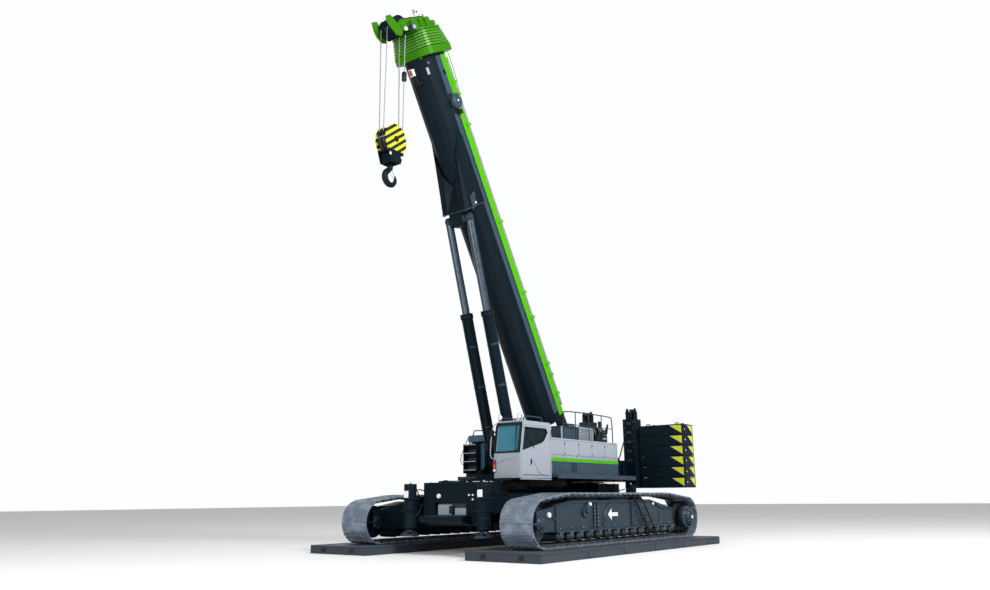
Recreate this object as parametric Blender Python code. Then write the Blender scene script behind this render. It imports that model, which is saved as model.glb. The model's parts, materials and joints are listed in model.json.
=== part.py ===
"""Crawler crane with a telescopic boom, standing on two steel ground mats.

Metres, +X forward, +Y to the machine's left (the cab's side), +Z up. The origin is on the
slewing axis, level with the underside of the mats. The boom stands at its parked elevation.
"""

import math

import bmesh
import bpy
from mathutils import Matrix, Vector

GAP = 0.0003  # between faces that touch on the real machine
EDGE = 0.012  # a small bevel

# Ground mats
MAT_LENGTH = 10.77
MAT_WIDTH = 2.40
MAT_HEIGHT = 0.24
MAT_FRONT = 5.60

# Tracks
TRACK_Y = 3.02  # the middle of each track, and of each mat
SHOE_WIDTH = 1.05
SHOE_COUNT = 68
WHEEL_X = 4.34  # idler centre in front, sprocket centre behind
WHEEL_HEIGHT = 0.66  # wheel centre above the underside of the shoes
TOP_RUN_HEIGHT = 1.46  # top of the shoes above their underside
TOP_RUN_FRONT = 3.1
TOP_RUN_REAR = -2.9
GROUSER = 0.045
BAND = 0.17  # shoe and chain together

# Track frames
FRAME_WIDTH = 0.64
FRAME_FRONT = 3.66
FRAME_REAR = -3.44
FRAME_TOP = 1.49
FRAME_BOTTOM = 0.64
YOKE_PLATE = 0.07
ROLLER_COUNT = 14
ROLLER_RADIUS = 0.14
IDLER_HALF_WIDTH = 0.17
RIM_CLEARANCE = 0.012

# Carbody, its front and rear weights, and its jacks
CARBODY_HALF_LENGTH = 2.60
CARBODY_HALF_WIDTH = 1.60
CARBODY_LOW = 0.85
CARBODY_TOP = 1.70
AXLE_BEAM_INNER = 1.15
AXLE_BEAM_TOP = 1.45
RING_RADIUS = 1.20
RING_LOW = 1.92
RING_TOP = 2.10
WEIGHT_FACE = 4.06
WEIGHT_HALF_WIDTH = 1.03
WEIGHT_TOP = 2.03
WEIGHT_LOW = 0.80
SHELF_REACH = 0.46
SHELF_HALF_WIDTH = 0.80
SHELF_TOP = 1.08
JACK_X = 4.25
JACK_Y = 1.40
JACK_RADIUS = 0.19
JACK_ROD_RADIUS = 0.13
JACK_LOW = 0.72
JACK_TOP = 2.00
JACK_FOOT_LOW = 0.50
JACK_STROKE = 0.60

# Upper structure
DECK_LOW = 2.12
DECK_TOP = 2.30
DECK_HALF_WIDTH = 0.80
DECK_FRONT = 1.85
DECK_REAR = -5.05
EAR_INNER = 0.60
EAR_PLATE = 0.12
LUG_RADIUS = 0.30
LUG_PLATE = 0.05

# Operator's cab
CAB_REAR = 1.40
CAB_FRONT = 3.02
CAB_ROOF_FRONT = 2.86
CAB_RIGHT = 0.82
CAB_LEFT = 1.78
CAB_FLOOR = 2.14
CAB_BROW = 2.86
CAB_ROOF = 3.79
CAB_WALL = 0.05
GLASS = 0.012
HINGE_RADIUS = 0.014
HINGE_KNUCKLE = 0.06
HINGE_HEIGHTS = (2.45, 3.35)

# Machinery housing, left side, and tank, right side
HOUSING_FRONT = 1.33
HOUSING_REAR = -2.95
HOUSING_INNER = 0.84
HOUSING_OUTER = 1.65
HOUSING_LOW = 2.26
HOUSING_TOP = 3.38
HOUSING_WALL = 0.05
DOOR_COUNT = 5
DOOR_LOW = 2.80
DOOR_TOP = 3.33
DOOR_THICKNESS = 0.035
DOOR_CLEARANCE = 0.008

# Counterweight
SLAB_COUNT = 6
BALLAST_FRONT = -5.25
BALLAST_REAR = -6.10
BALLAST_INNER = 1.30
BALLAST_OUTER = 3.06
BALLAST_LOW = 1.885
BALLAST_TOP = 4.15
SLAB_JOINT = 0.014

# Boom: distances along it from its foot pin, and across it from the pin's line
BOOM_ANGLE = math.radians(59.7)
BOOM_PIN_X = -1.39
BOOM_PIN_Z = 3.70
BOOM_HALF_WIDTH = 0.56
BOOM_ROOF = 0.28
BOOM_DEPTH = 1.12
BOOM_WALL = 0.016
BOOM_FOOT = 0.42
BASE_END = 13.50
SECTION_COUNT = 7
SECTION_STEP = 0.043  # each section's outline lies this far inside the one around it
SECTION_START = 0.95
SECTION_STEP_BACK = 0.12
SECTION_STROKE = 10.60
COLLAR_LENGTH = 0.062
COLLAR_PITCH = 0.086
BASE_COLLAR_LENGTH = 0.23
COLLAR_RISE = 0.216
COLLAR_HALF_WIDTH = 0.78
COLLAR_LOW = -0.845
COLLAR_TAPER = 0.016
PAD_LENGTH = 0.30

# Boom head
HEAD_LENGTH = 0.95
HEAD_SHEAVE_ALONG = 14.32
HEAD_SHEAVE_ACROSS = -1.12
SHEAVE_RADIUS = 0.43
SHEAVE_PACK_HALF = 0.33
CHEEK = 0.05

# Luffing cylinders
LUFF_FOOT_X = 1.40
LUFF_FOOT_Z = 2.62
LUFF_Y = 0.42
LUFF_EYE_X = 3.67
LUFF_EYE_Z = 10.19
BARREL_LENGTH = 4.91
BARREL_RADIUS = 0.17
ROD_RADIUS = 0.095
EYE_RADIUS = 0.17
EYE_HALF_WIDTH = 0.11
ROD_EYE_HALF_WIDTH = 0.07
BALL_RADIUS = 0.095  # the barrel eyes sit on balls, so that they can tilt a little
PIN_RADIUS = 0.055
LUG_GAP = 0.032
SEAT_CLEARANCE = 0.0007
SADDLE_HALF_WIDTH = 0.20

# Hook block, hanging under the head sheaves
BLOCK_TOP = 12.32
BLOCK_HEIGHT = 1.10
BLOCK_HALF_LENGTH = 0.50
BLOCK_PLATE = 0.04
BLOCK_SHEAVE_HALF = 0.17
HOOK_LENGTH = 0.88
LIMIT_WEIGHT_DROP = 1.75
ROPE_RADIUS = 0.012
GROOVE_DEPTH = 0.06
ROPE_LIFT = 0.0193  # how far the rope's middle lies above the bottom of a sheave's groove


# ---------------------------------------------------------------- materials


def material(name, colour, roughness, metallic=0.0):
    made = bpy.data.materials.get(name)
    if made:
        return made
    made = bpy.data.materials.new(name)
    made.use_nodes = True
    made.diffuse_color = (*colour, 1.0)
    shader = made.node_tree.nodes["Principled BSDF"]
    shader.inputs["Base Color"].default_value = (*colour, 1.0)
    shader.inputs["Roughness"].default_value = roughness
    shader.inputs["Metallic"].default_value = metallic
    return made


def slate():
    return material("slate_paint", (0.035, 0.055, 0.075), 0.45)


def green():
    return material("green_paint", (0.22, 0.62, 0.01), 0.4)


def light():
    return material("light_paint", (0.66, 0.66, 0.67), 0.4)


def worn_steel():
    return material("worn_steel", (0.38, 0.43, 0.47), 0.5, 0.8)


def chrome():
    return material("chrome", (0.8, 0.8, 0.82), 0.12, 1.0)


def teal_glass():
    return material("teal_glass", (0.12, 0.30, 0.33), 0.08)


def black():
    return material("black_plastic", (0.02, 0.02, 0.02), 0.6)


def yellow():
    return material("yellow_paint", (0.85, 0.62, 0.02), 0.4)


# ---------------------------------------------------------------- shapes


def add_object(name, mesh, finish):
    mesh.materials.append(finish)
    mesh.shade_smooth()
    mesh.set_sharp_from_angle(angle=math.radians(35))
    made = bpy.data.objects.new(name, mesh)
    bpy.context.scene.collection.objects.link(made)
    return made


def from_rings(name, rings, finish, closed=False):
    """A solid whose cross sections are `rings`; `closed` joins the last ring to the first."""
    shape = bmesh.new()
    verts = [[shape.verts.new(point) for point in ring] for ring in rings]
    count = len(rings[0])
    pairs = list(zip(verts, verts[1:]))
    if closed:
        pairs.append((verts[-1], verts[0]))
    for lower, upper in pairs:
        for i in range(count):
            j = (i + 1) % count
            shape.faces.new((lower[i], lower[j], upper[j], upper[i]))
    if not closed:
        shape.faces.new(verts[0])
        shape.faces.new(verts[-1])
    bmesh.ops.recalc_face_normals(shape, faces=shape.faces)
    mesh = bpy.data.meshes.new(name)
    shape.to_mesh(mesh)
    shape.free()
    return add_object(name, mesh, finish)


def prism_y(name, outline, low, high, finish):
    """Points (x, z) extruded from y = low to y = high."""
    rings = [[Vector((x, y, z)) for x, z in outline] for y in (low, high)]
    return from_rings(name, rings, finish)


def box(name, low, high, finish, bevel=0.0):
    outline = [(low[0], low[2]), (high[0], low[2]), (high[0], high[2]), (low[0], high[2])]
    made = prism_y(name, outline, low[1], high[1], finish)
    if bevel:
        soften(made, bevel)
    return made


def soften(made, width):
    modifier = made.modifiers.new("Bevel", "BEVEL")
    modifier.width = width
    modifier.segments = 1
    modifier.limit_method = "ANGLE"
    modifier.angle_limit = math.radians(40)


def circle(radius, count, start=0.0):
    angles = [start + 2 * math.pi * i / count for i in range(count)]
    return [(radius * math.cos(a), radius * math.sin(a)) for a in angles]


def turned(name, base, direction, profile, finish, count=24):
    """A turned solid: `profile` holds (distance along the direction, radius)."""
    turn = Vector(direction).normalized().to_track_quat("Z", "X").to_matrix()
    rings = []
    for distance, radius in profile:
        ring = [turn @ Vector((x, y, distance)) + Vector(base) for x, y in circle(radius, count)]
        rings.append(ring)
    return from_rings(name, rings, finish)


def rod(name, start, end, radius, finish, count=24):
    start = Vector(start)
    end = Vector(end)
    length = (end - start).length
    return turned(name, start, end - start, [(0.0, radius), (length, radius)], finish, count)


def across(name, x, z, low, high, radius, finish, count=24):
    """A round bar along Y."""
    return rod(name, (x, low, z), (x, high, z), radius, finish, count)


def helper(made):
    made.hide_render = True
    made.display_type = "WIRE"
    return made


def combine(made, others, operation):
    for other in others:
        helper(other)
        modifier = made.modifiers.new(operation.title(), "BOOLEAN")
        modifier.operation = operation
        modifier.object = other
    return made


def join(made, others):
    return combine(made, others, "UNION")


def cut(made, others):
    return combine(made, others, "DIFFERENCE")


# ---------------------------------------------------------------- undercarriage


def mat_y(side):
    return side * TRACK_Y


def build_mat(side, label):
    middle = mat_y(side)
    low = (MAT_FRONT - MAT_LENGTH, middle - MAT_WIDTH / 2, 0.0)
    high = (MAT_FRONT, middle + MAT_WIDTH / 2, MAT_HEIGHT)
    mat = box(f"ground_mat_{label}", low, high, slate())
    seam = MAT_FRONT - MAT_LENGTH / 2
    groove_low = (seam - 0.01, low[1] - 0.1, MAT_HEIGHT - 0.03)
    groove_high = (seam + 0.01, high[1] + 0.1, MAT_HEIGHT + 0.1)
    return cut(mat, [box(f"mat_seam_{label}", groove_low, groove_high, slate())])


def track_bottom():
    return MAT_HEIGHT + GAP


def convex_hull(points):
    """The convex outline of (x, z) points, anticlockwise."""
    ordered = sorted(set(points))

    def chain(sequence):
        kept = []
        for point in sequence:
            while len(kept) > 1:
                (ax, az), (bx, bz) = kept[-2], kept[-1]
                if (bx - ax) * (point[1] - az) - (bz - az) * (point[0] - ax) > 0:
                    break
                kept.pop()
            kept.append(point)
        return kept[:-1]

    return chain(ordered) + chain(reversed(ordered))


def track_outline(inset):
    """The loop's (x, z) outline, pulled in by `inset` from the tips of the grousers."""
    low = track_bottom()
    radius = WHEEL_HEIGHT - inset
    facets = 96
    points = []
    for x in (-WHEEL_X, WHEEL_X):
        for dx, dz in circle(radius, facets):
            points.append((x + dx, low + WHEEL_HEIGHT + dz))
    corner = 0.5
    for x in (TOP_RUN_REAR, TOP_RUN_FRONT):
        for dx, dz in circle(corner - inset, facets):
            points.append((x + dx, low + TOP_RUN_HEIGHT - corner + dz))
    return convex_hull([(round(x, 6), round(z, 6)) for x, z in points])


def resample(outline, count):
    """`count` places along a closed outline: each one's point and its outward normal.

    A corner's normal lies halfway between its edges', and normals turn evenly in between.
    """
    corners = [Vector(point) for point in outline]
    following = corners[1:] + corners[:1]
    lengths = [(b - a).length for a, b in zip(corners, following)]
    faces = [Vector((b.y - a.y, a.x - b.x)).normalized() for a, b in zip(corners, following)]
    normals = [(faces[i - 1] + faces[i]).normalized() for i in range(len(faces))]
    places = []
    walked = 0.0
    edge = 0
    for i in range(count):
        target = sum(lengths) * i / count
        while walked + lengths[edge] < target:
            walked += lengths[edge]
            edge += 1
        share = (target - walked) / lengths[edge]
        after = (edge + 1) % len(corners)
        point = corners[edge].lerp(corners[after], share)
        places.append((point, normals[edge].lerp(normals[after], share).normalized()))
    return places


def build_track(side, label):
    """One fixed loop: each shoe is a raised plate with a narrow gap before the next."""
    steps = 8
    places = resample(track_outline(GROUSER), SHOE_COUNT * steps)
    loop = []
    for shoe in range(SHOE_COUNT):
        for step, raised in ((0, True), (5, True), (6, False), (7, False)):
            point, normal = places[shoe * steps + step]
            outer = point + normal * (GROUSER if raised else 0.0)
            inner = point - normal * (BAND - GROUSER)
            loop.append((outer, inner))
    low = mat_y(side) - SHOE_WIDTH / 2
    high = low + SHOE_WIDTH
    rings = []
    for outer, inner in loop:
        ring = [(inner, low), (outer, low), (outer, high), (inner, high)]
        rings.append([Vector((point.x, y, point.y)) for point, y in ring])
    return from_rings(f"track_{label}", rings, worn_steel(), closed=True)


def frame_outline():
    """Side view of a track frame's box."""
    return [
        (FRAME_REAR, FRAME_BOTTOM),
        (FRAME_FRONT, FRAME_BOTTOM),
        (FRAME_FRONT, 1.36),
        (2.85, FRAME_TOP),
        (-1.9, FRAME_TOP),
        (FRAME_REAR, 1.20),
    ]


def yoke_outline():
    """Side view of the two plates that hold an idler."""
    return [(FRAME_FRONT - 0.2, 0.68), (4.50, 0.68), (4.50, 1.21), (FRAME_FRONT - 0.2, 1.36)]


def wheel_z():
    return track_bottom() + WHEEL_HEIGHT


def build_track_frame(side, label):
    middle = mat_y(side)
    half = FRAME_WIDTH / 2
    name = f"track_frame_{label}"
    frame = prism_y(name, frame_outline(), middle - half, middle + half, slate())
    parts = []
    for edge in (-1, 1):
        near = middle + edge * half
        far = near - edge * YOKE_PLATE
        low, high = sorted((near, far))
        plate = prism_y(f"yoke_{label}_{edge}", yoke_outline(), low, high, slate())
        parts.append(plate)
    inner = middle - side * (half - YOKE_PLATE)
    arm_low, arm_high = sorted((inner - side * YOKE_PLATE, inner))
    arm = [(-WHEEL_X - 0.28, 0.62), (FRAME_REAR + 0.3, 0.62), (FRAME_REAR + 0.3, 1.20), (-WHEEL_X - 0.28, 1.18)]
    parts.append(prism_y(f"drive_arm_{label}", arm, arm_low, arm_high, slate()))
    roller_z = track_bottom() + BAND + GAP + ROLLER_RADIUS
    first = FRAME_REAR + 0.20
    pitch = (FRAME_FRONT - 0.22 - first) / (ROLLER_COUNT - 1)
    for i in range(ROLLER_COUNT):
        x = first + i * pitch
        parts.append(
            across(f"roller_{label}_{i}", x, roller_z, middle - 0.26, middle + 0.26, ROLLER_RADIUS, slate(), 10)
        )
    carrier_top = track_bottom() + TOP_RUN_HEIGHT - BAND - GAP
    for i, x in enumerate((-1.5, 0.4, 2.3)):
        pad_low = (x - 0.16, middle - 0.16, FRAME_TOP - 0.05)
        parts.append(box(f"carrier_{label}_{i}", pad_low, (x + 0.16, middle + 0.16, carrier_top), slate()))
    return join(frame, parts + [idler_wheel(side, label)])


def idler_wheel(side, label):
    """The front wheel on its axle, which the yoke's plates carry."""
    middle = mat_y(side)
    rim = WHEEL_HEIGHT - BAND - RIM_CLEARANCE
    hub_half = FRAME_WIDTH / 2 - YOKE_PLATE / 2
    profile = [
        (-hub_half, 0.13),
        (-IDLER_HALF_WIDTH, 0.13),
        (-IDLER_HALF_WIDTH, rim),
        (IDLER_HALF_WIDTH, rim),
        (IDLER_HALF_WIDTH, 0.13),
        (hub_half, 0.13),
    ]
    return turned(f"idler_{label}", (WHEEL_X, middle, wheel_z()), (0, 1, 0), profile, slate(), 24)


def build_sprocket(side, label):
    """The drive sprocket with its final-drive hub, which stands out past the track."""
    middle = mat_y(side)
    rim = WHEEL_HEIGHT - BAND - RIM_CLEARANCE
    arm_face = FRAME_WIDTH / 2 - YOKE_PLATE - GAP
    profile = [
        (-arm_face, 0.30),
        (-0.12, 0.30),
        (-0.12, rim),
        (0.12, rim),
        (0.12, 0.36),
        (0.44, 0.36),
        (0.44, 0.27),
        (0.58, 0.27),
        (0.58, 0.20),
        (0.63, 0.20),
    ]
    return turned(f"sprocket_{label}", (-WHEEL_X, middle, wheel_z()), (0, side, 0), profile, slate(), 24)


def build_carbody():
    half_l, half_w = CARBODY_HALF_LENGTH, CARBODY_HALF_WIDTH
    body = box("carbody", (-half_l, -half_w, CARBODY_LOW), (half_l, half_w, CARBODY_TOP), slate(), 0.08)
    parts = []
    reach = TRACK_Y - FRAME_WIDTH / 2 - GAP
    for end in (-1, 1):
        low_x, high_x = sorted((end * AXLE_BEAM_INNER, end * (half_l - 0.05)))
        beam_low = (low_x, -reach, CARBODY_LOW + 0.02)
        parts.append(box(f"axle_beam_{end}", beam_low, (high_x, reach, AXLE_BEAM_TOP), slate()))
        for side in (-1, 1):
            low_x, high_x = sorted((end * (half_l - 0.2), end * JACK_X))
            arm_low = (low_x, side * JACK_Y - 0.13, 1.15)
            arm_high = (high_x, side * JACK_Y + 0.13, 1.62)
            parts.append(box(f"jack_arm_{end}_{side}", arm_low, arm_high, slate()))
            base = (end * JACK_X, side * JACK_Y, JACK_LOW)
            top = (end * JACK_X, side * JACK_Y, JACK_TOP)
            parts.append(rod(f"jack_tube_{end}_{side}", base, top, JACK_RADIUS, slate(), 16))
    pedestal = rod("pedestal", (0, 0, CARBODY_TOP - 0.1), (0, 0, RING_LOW - GAP), RING_RADIUS - 0.12, slate(), 48)
    parts.append(pedestal)
    join(body, parts)
    bores = []
    for end in (-1, 1):
        for side in (-1, 1):
            base = (end * JACK_X, side * JACK_Y, JACK_LOW - 0.1)
            top = (end * JACK_X, side * JACK_Y, JACK_TOP - 0.05)
            bores.append(rod(f"jack_bore_{end}_{side}", base, top, JACK_ROD_RADIUS + GAP, slate(), 16))
    return cut(body, bores)


def build_jack_foot(end, side, label):
    """The round rod of a jack with its flared foot."""
    profile = [
        (0.0, 0.27),
        (0.05, 0.27),
        (0.10, 0.20),
        (0.16, 0.16),
        (0.16, JACK_ROD_RADIUS),
        (JACK_TOP - 0.10 - JACK_FOOT_LOW, JACK_ROD_RADIUS),
    ]
    return turned(f"jack_foot_{label}", (end * JACK_X, side * JACK_Y, JACK_FOOT_LOW), (0, 0, 1), profile, slate(), 16)


def build_end_weight(end, label):
    """The weight on one end of the carbody, its lower edge tapered and a shelf in front."""
    rear = CARBODY_HALF_LENGTH + GAP
    outline = [
        (end * rear, WEIGHT_LOW + 0.10),
        (end * (WEIGHT_FACE - 0.15), WEIGHT_LOW),
        (end * WEIGHT_FACE, WEIGHT_LOW + 0.12),
        (end * WEIGHT_FACE, WEIGHT_TOP),
        (end * rear, WEIGHT_TOP),
    ]
    weight = prism_y(f"end_weight_{label}", outline, -WEIGHT_HALF_WIDTH, WEIGHT_HALF_WIDTH, slate())
    reach = WEIGHT_FACE + SHELF_REACH
    shelf = [
        (end * (WEIGHT_FACE - 0.3), WEIGHT_LOW + 0.02),
        (end * (reach - 0.06), WEIGHT_LOW + 0.10),
        (end * reach, WEIGHT_LOW + 0.16),
        (end * reach, SHELF_TOP),
        (end * (WEIGHT_FACE - 0.3), SHELF_TOP),
    ]
    shelf_part = prism_y(f"shelf_{label}", shelf, -SHELF_HALF_WIDTH, SHELF_HALF_WIDTH, slate())
    join(weight, [shelf_part])
    low_x, high_x = sorted((end * (WEIGHT_FACE - 0.24), end * (WEIGHT_FACE + 0.2)))
    recess = box(f"recess_{label}", (low_x, -0.60, SHELF_TOP + 0.001), (high_x, 0.60, 1.46), slate())
    return cut(weight, [recess])


def build_slewing_ring():
    profile = [
        (0.0, RING_RADIUS - 0.10),
        (0.05, RING_RADIUS - 0.10),
        (0.09, RING_RADIUS),
        (RING_TOP - RING_LOW, RING_RADIUS),
    ]
    return turned("slewing_ring", (0, 0, RING_LOW), (0, 0, 1), profile, slate(), 48)


# ---------------------------------------------------------------- upper structure


def ear_outline():
    """Side view of one of the two plates that carry the boom's foot pin and the cylinders' feet."""
    return [
        (DECK_REAR, DECK_LOW),
        (DECK_FRONT, DECK_LOW),
        (DECK_FRONT, DECK_TOP + 0.12),
        (LUFF_FOOT_X - 0.55, 2.70),
        (-0.55, 2.86),
        (BOOM_PIN_X + 0.42, BOOM_PIN_Z + 0.05),
        (BOOM_PIN_X + 0.25, BOOM_PIN_Z + 0.33),
        (BOOM_PIN_X - 0.25, BOOM_PIN_Z + 0.33),
        (BOOM_PIN_X - 0.45, BOOM_PIN_Z + 0.05),
        (-2.9, 3.0),
        (-4.6, 3.0),
        (DECK_REAR, 2.75),
    ]


def luff_pin(side):
    """The pin under a luffing cylinder, with the ball that its eye sits on."""
    reach = EYE_HALF_WIDTH + LUG_GAP + LUG_PLATE / 2
    profile = [(-reach, PIN_RADIUS)]
    steps = 6
    for i in range(steps + 1):
        angle = math.radians(-50 + 100 * i / steps)
        profile.append((BALL_RADIUS * math.sin(angle), BALL_RADIUS * math.cos(angle)))
    profile.append((reach, PIN_RADIUS))
    middle = (LUFF_FOOT_X, side * LUFF_Y, LUFF_FOOT_Z)
    return turned(f"luff_pin_{side}", middle, (0, 1, 0), profile, slate(), 32)


def build_upper_frame():
    frame = box(
        "upper_frame",
        (DECK_REAR, -DECK_HALF_WIDTH, DECK_LOW),
        (DECK_FRONT, DECK_HALF_WIDTH, DECK_TOP),
        slate(),
    )
    parts = []
    for side in (-1, 1):
        low, high = sorted((side * EAR_INNER, side * (EAR_INNER + EAR_PLATE)))
        parts.append(prism_y(f"ear_{side}", ear_outline(), low, high, slate()))
        for edge in (-1, 1):
            inner = side * LUFF_Y + edge * (EYE_HALF_WIDTH + LUG_GAP)
            low, high = sorted((inner, inner + edge * LUG_PLATE))
            lug = [
                (LUFF_FOOT_X - 0.42, DECK_TOP - 0.05),
                (LUFF_FOOT_X + 0.42, DECK_TOP - 0.05),
                (LUFF_FOOT_X + 0.18, LUFF_FOOT_Z + 0.14),
                (LUFF_FOOT_X - 0.18, LUFF_FOOT_Z + 0.14),
            ]
            parts.append(prism_y(f"lug_{side}_{edge}", lug, low, high, slate()))
        parts.append(luff_pin(side))
    cross_low = (DECK_REAR, -DECK_HALF_WIDTH, DECK_TOP - 0.02)
    parts.append(box("rear_cross", cross_low, (DECK_REAR + 0.25, DECK_HALF_WIDTH, 2.72), slate()))
    carry = rod("ring_seat", (0, 0, RING_TOP + GAP), (0, 0, DECK_LOW + 0.05), RING_RADIUS - 0.04, slate(), 48)
    parts.append(carry)
    for low_x, high_x in ((CAB_REAR + 0.15, CAB_REAR + 0.30), (DECK_FRONT - 0.15, DECK_FRONT)):
        parts.append(box(f"cab_arm_{high_x:.2f}", (low_x, 0.7, DECK_LOW), (high_x, CAB_LEFT - 0.1, CAB_FLOOR - GAP), slate()))
    for x in (HOUSING_REAR + 0.3, -1.0, HOUSING_FRONT - 0.4):
        for side in (-1, 1):
            low_y, high_y = sorted((side * 0.7, side * (HOUSING_OUTER + 0.30)))
            parts.append(box(f"outrigger_{x:.2f}_{side}", (x, low_y, DECK_LOW), (x + 0.16, high_y, HOUSING_LOW - 0.08), slate()))
    return join(frame, parts)


def cab_outline(inset=0.0):
    """Side view of the cab: the screen leans back above the brow."""
    return [
        (CAB_REAR + inset, CAB_FLOOR + inset),
        (CAB_FRONT - inset, CAB_FLOOR + inset),
        (CAB_FRONT - inset, CAB_BROW),
        (CAB_ROOF_FRONT - inset, CAB_ROOF - inset),
        (CAB_REAR + inset, CAB_ROOF - inset),
    ]


def screen_x(z, inset=0.0):
    """The screen's outer face at a height, less an inset."""
    share = (z - CAB_BROW) / (CAB_ROOF - CAB_BROW)
    return CAB_FRONT + share * (CAB_ROOF_FRONT - CAB_FRONT) - inset


DOOR_REAR = CAB_REAR + 0.06
DOOR_SILL = CAB_FLOOR + 0.07
DOOR_HEAD = CAB_ROOF - 0.12
DOOR_FRONT_INSET = 0.07


def door_outline(inset=0.0):
    return [
        (DOOR_REAR + inset, DOOR_SILL + inset),
        (CAB_FRONT - DOOR_FRONT_INSET - inset, DOOR_SILL + inset),
        (CAB_FRONT - DOOR_FRONT_INSET - inset, CAB_BROW),
        (screen_x(DOOR_HEAD, DOOR_FRONT_INSET) - inset, DOOR_HEAD - inset),
        (DOOR_REAR + inset, DOOR_HEAD - inset),
    ]


def door_window_outline(inset=0.0):
    """The door's window: its lower edge climbs towards the rear."""
    return [
        (2.88 - inset, 2.95 + inset),
        (2.76 - inset, DOOR_HEAD - 0.07 - inset),
        (1.68 + inset, DOOR_HEAD - 0.07 - inset),
        (1.60 + inset, DOOR_HEAD - 0.16 - inset),
        (1.78 + inset, 3.27 + inset),
        (1.90 + inset, 3.20 + inset),
    ]


def build_cab():
    shell = prism_y("cab_shell", cab_outline(), CAB_RIGHT, CAB_LEFT, light())
    hollow = prism_y("cab_hollow", cab_outline(CAB_WALL), CAB_RIGHT + CAB_WALL, CAB_LEFT - CAB_WALL, light())
    opening = prism_y("cab_doorway", door_outline(-DOOR_CLEARANCE), CAB_LEFT - 0.1, CAB_LEFT + 0.1, light())
    screen_low, screen_high = CAB_BROW + 0.04, CAB_ROOF - 0.12
    screen_cut = prism_y(
        "screen_cut",
        [
            (screen_x(screen_low, 0.2), screen_low),
            (screen_x(screen_low, -0.2), screen_low),
            (screen_x(screen_high, -0.2), screen_high),
            (screen_x(screen_high, 0.2), screen_high),
        ],
        CAB_RIGHT + 0.07,
        CAB_LEFT - 0.07,
        light(),
    )
    side_cut = prism_y("side_window_cut", side_window_outline(), CAB_RIGHT - 0.1, CAB_RIGHT + 0.1, light())
    cut(shell, [hollow, opening, screen_cut, side_cut])
    heights = []
    for height in HINGE_HEIGHTS:
        heights += [height - HINGE_KNUCKLE - GAP, height + HINGE_KNUCKLE + GAP]
    join(shell, hinge_knuckles("shell", heights, CAB_REAR + 0.01, light()))
    glass_low, glass_high = screen_low + GAP, screen_high - GAP
    screen = prism_y(
        "windscreen",
        [
            (screen_x(glass_low, 0.03), glass_low),
            (screen_x(glass_low, 0.03 - GLASS), glass_low),
            (screen_x(glass_high, 0.03 - GLASS), glass_high),
            (screen_x(glass_high, 0.03), glass_high),
        ],
        CAB_RIGHT + 0.07 + GAP,
        CAB_LEFT - 0.07 - GAP,
        teal_glass(),
    )
    side = prism_y(
        "cab_side_glass",
        side_window_outline(GAP),
        CAB_RIGHT + 0.015,
        CAB_RIGHT + 0.015 + GLASS,
        teal_glass(),
    )
    return [shell, screen, side]


def side_window_outline(inset=0.0):
    return [
        (1.55 + inset, 2.95 + inset),
        (2.86 - inset, 2.95 + inset),
        (2.74 - inset, DOOR_HEAD - 0.05 - inset),
        (1.55 + inset, DOOR_HEAD - 0.05 - inset),
    ]


def hinge_knuckles(label, heights, foot_x, finish):
    """Knuckles round the cab door's hinge line, each with a leaf whose foot holds the wall at `foot_x`."""
    x, y = cab_hinge()
    parts = []
    for low in heights:
        high = low + HINGE_KNUCKLE
        parts.append(rod(f"knuckle_{label}_{low:.2f}", (x, y, low), (x, y, high), HINGE_RADIUS, finish, 12))
        face = CAB_LEFT + 0.008
        low_x, high_x = sorted((x, foot_x))
        parts.append(box(f"leaf_{label}_{low:.2f}", (low_x, CAB_LEFT + GAP, low), (high_x, face, high), finish))
        foot_low = (foot_x - 0.008, CAB_LEFT - 0.02, low + 0.005)
        parts.append(box(f"foot_{label}_{low:.2f}", foot_low, (foot_x + 0.008, face - 0.002, high - 0.005), finish))
    return parts


def cab_hinge():
    return CAB_REAR + 0.025, CAB_LEFT + HINGE_RADIUS + 0.002


def build_cab_door():
    """The door, with its origin on the hinge at its rear edge."""
    outer = CAB_LEFT - GAP
    inner = outer - CAB_WALL
    door = prism_y("cab_door", door_outline(), inner, outer, light())
    cut(door, [prism_y("door_window_cut", door_window_outline(), inner - 0.1, outer + 0.1, light())])
    join(door, hinge_knuckles("door", HINGE_HEIGHTS, DOOR_REAR + 0.03, light()))
    glass = prism_y("cab_door_glass", door_window_outline(GAP), outer - 0.03, outer - 0.03 + GLASS, teal_glass())
    return [door, glass]


def build_seat():
    seat = box("operator_seat", (1.72, 1.08, 2.45), (2.22, 1.54, 2.62), black(), 0.03)
    back = prism_y(
        "seat_back",
        [(1.70, 2.55), (1.84, 2.55), (1.72, 3.22), (1.60, 3.22)],
        1.10,
        1.52,
        black(),
    )
    column = box("seat_column", (1.84, 1.20, CAB_FLOOR + CAB_WALL + GAP), (2.10, 1.42, 2.50), black())
    return join(seat, [back, column])


def build_console():
    """The desk in front of the seat."""
    low = CAB_FLOOR + CAB_WALL + GAP
    outline = [(2.62, low), (2.84, low), (2.90, 2.86), (2.70, 2.92)]
    return prism_y("cab_console", outline, 1.00, 1.60, black())


def door_edges():
    """The x of the doors' edges, front to rear."""
    front = HOUSING_FRONT - 0.05
    rear = HOUSING_REAR + 0.07
    pitch = (front - rear) / DOOR_COUNT
    return [front - i * pitch for i in range(DOOR_COUNT + 1)]


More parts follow.
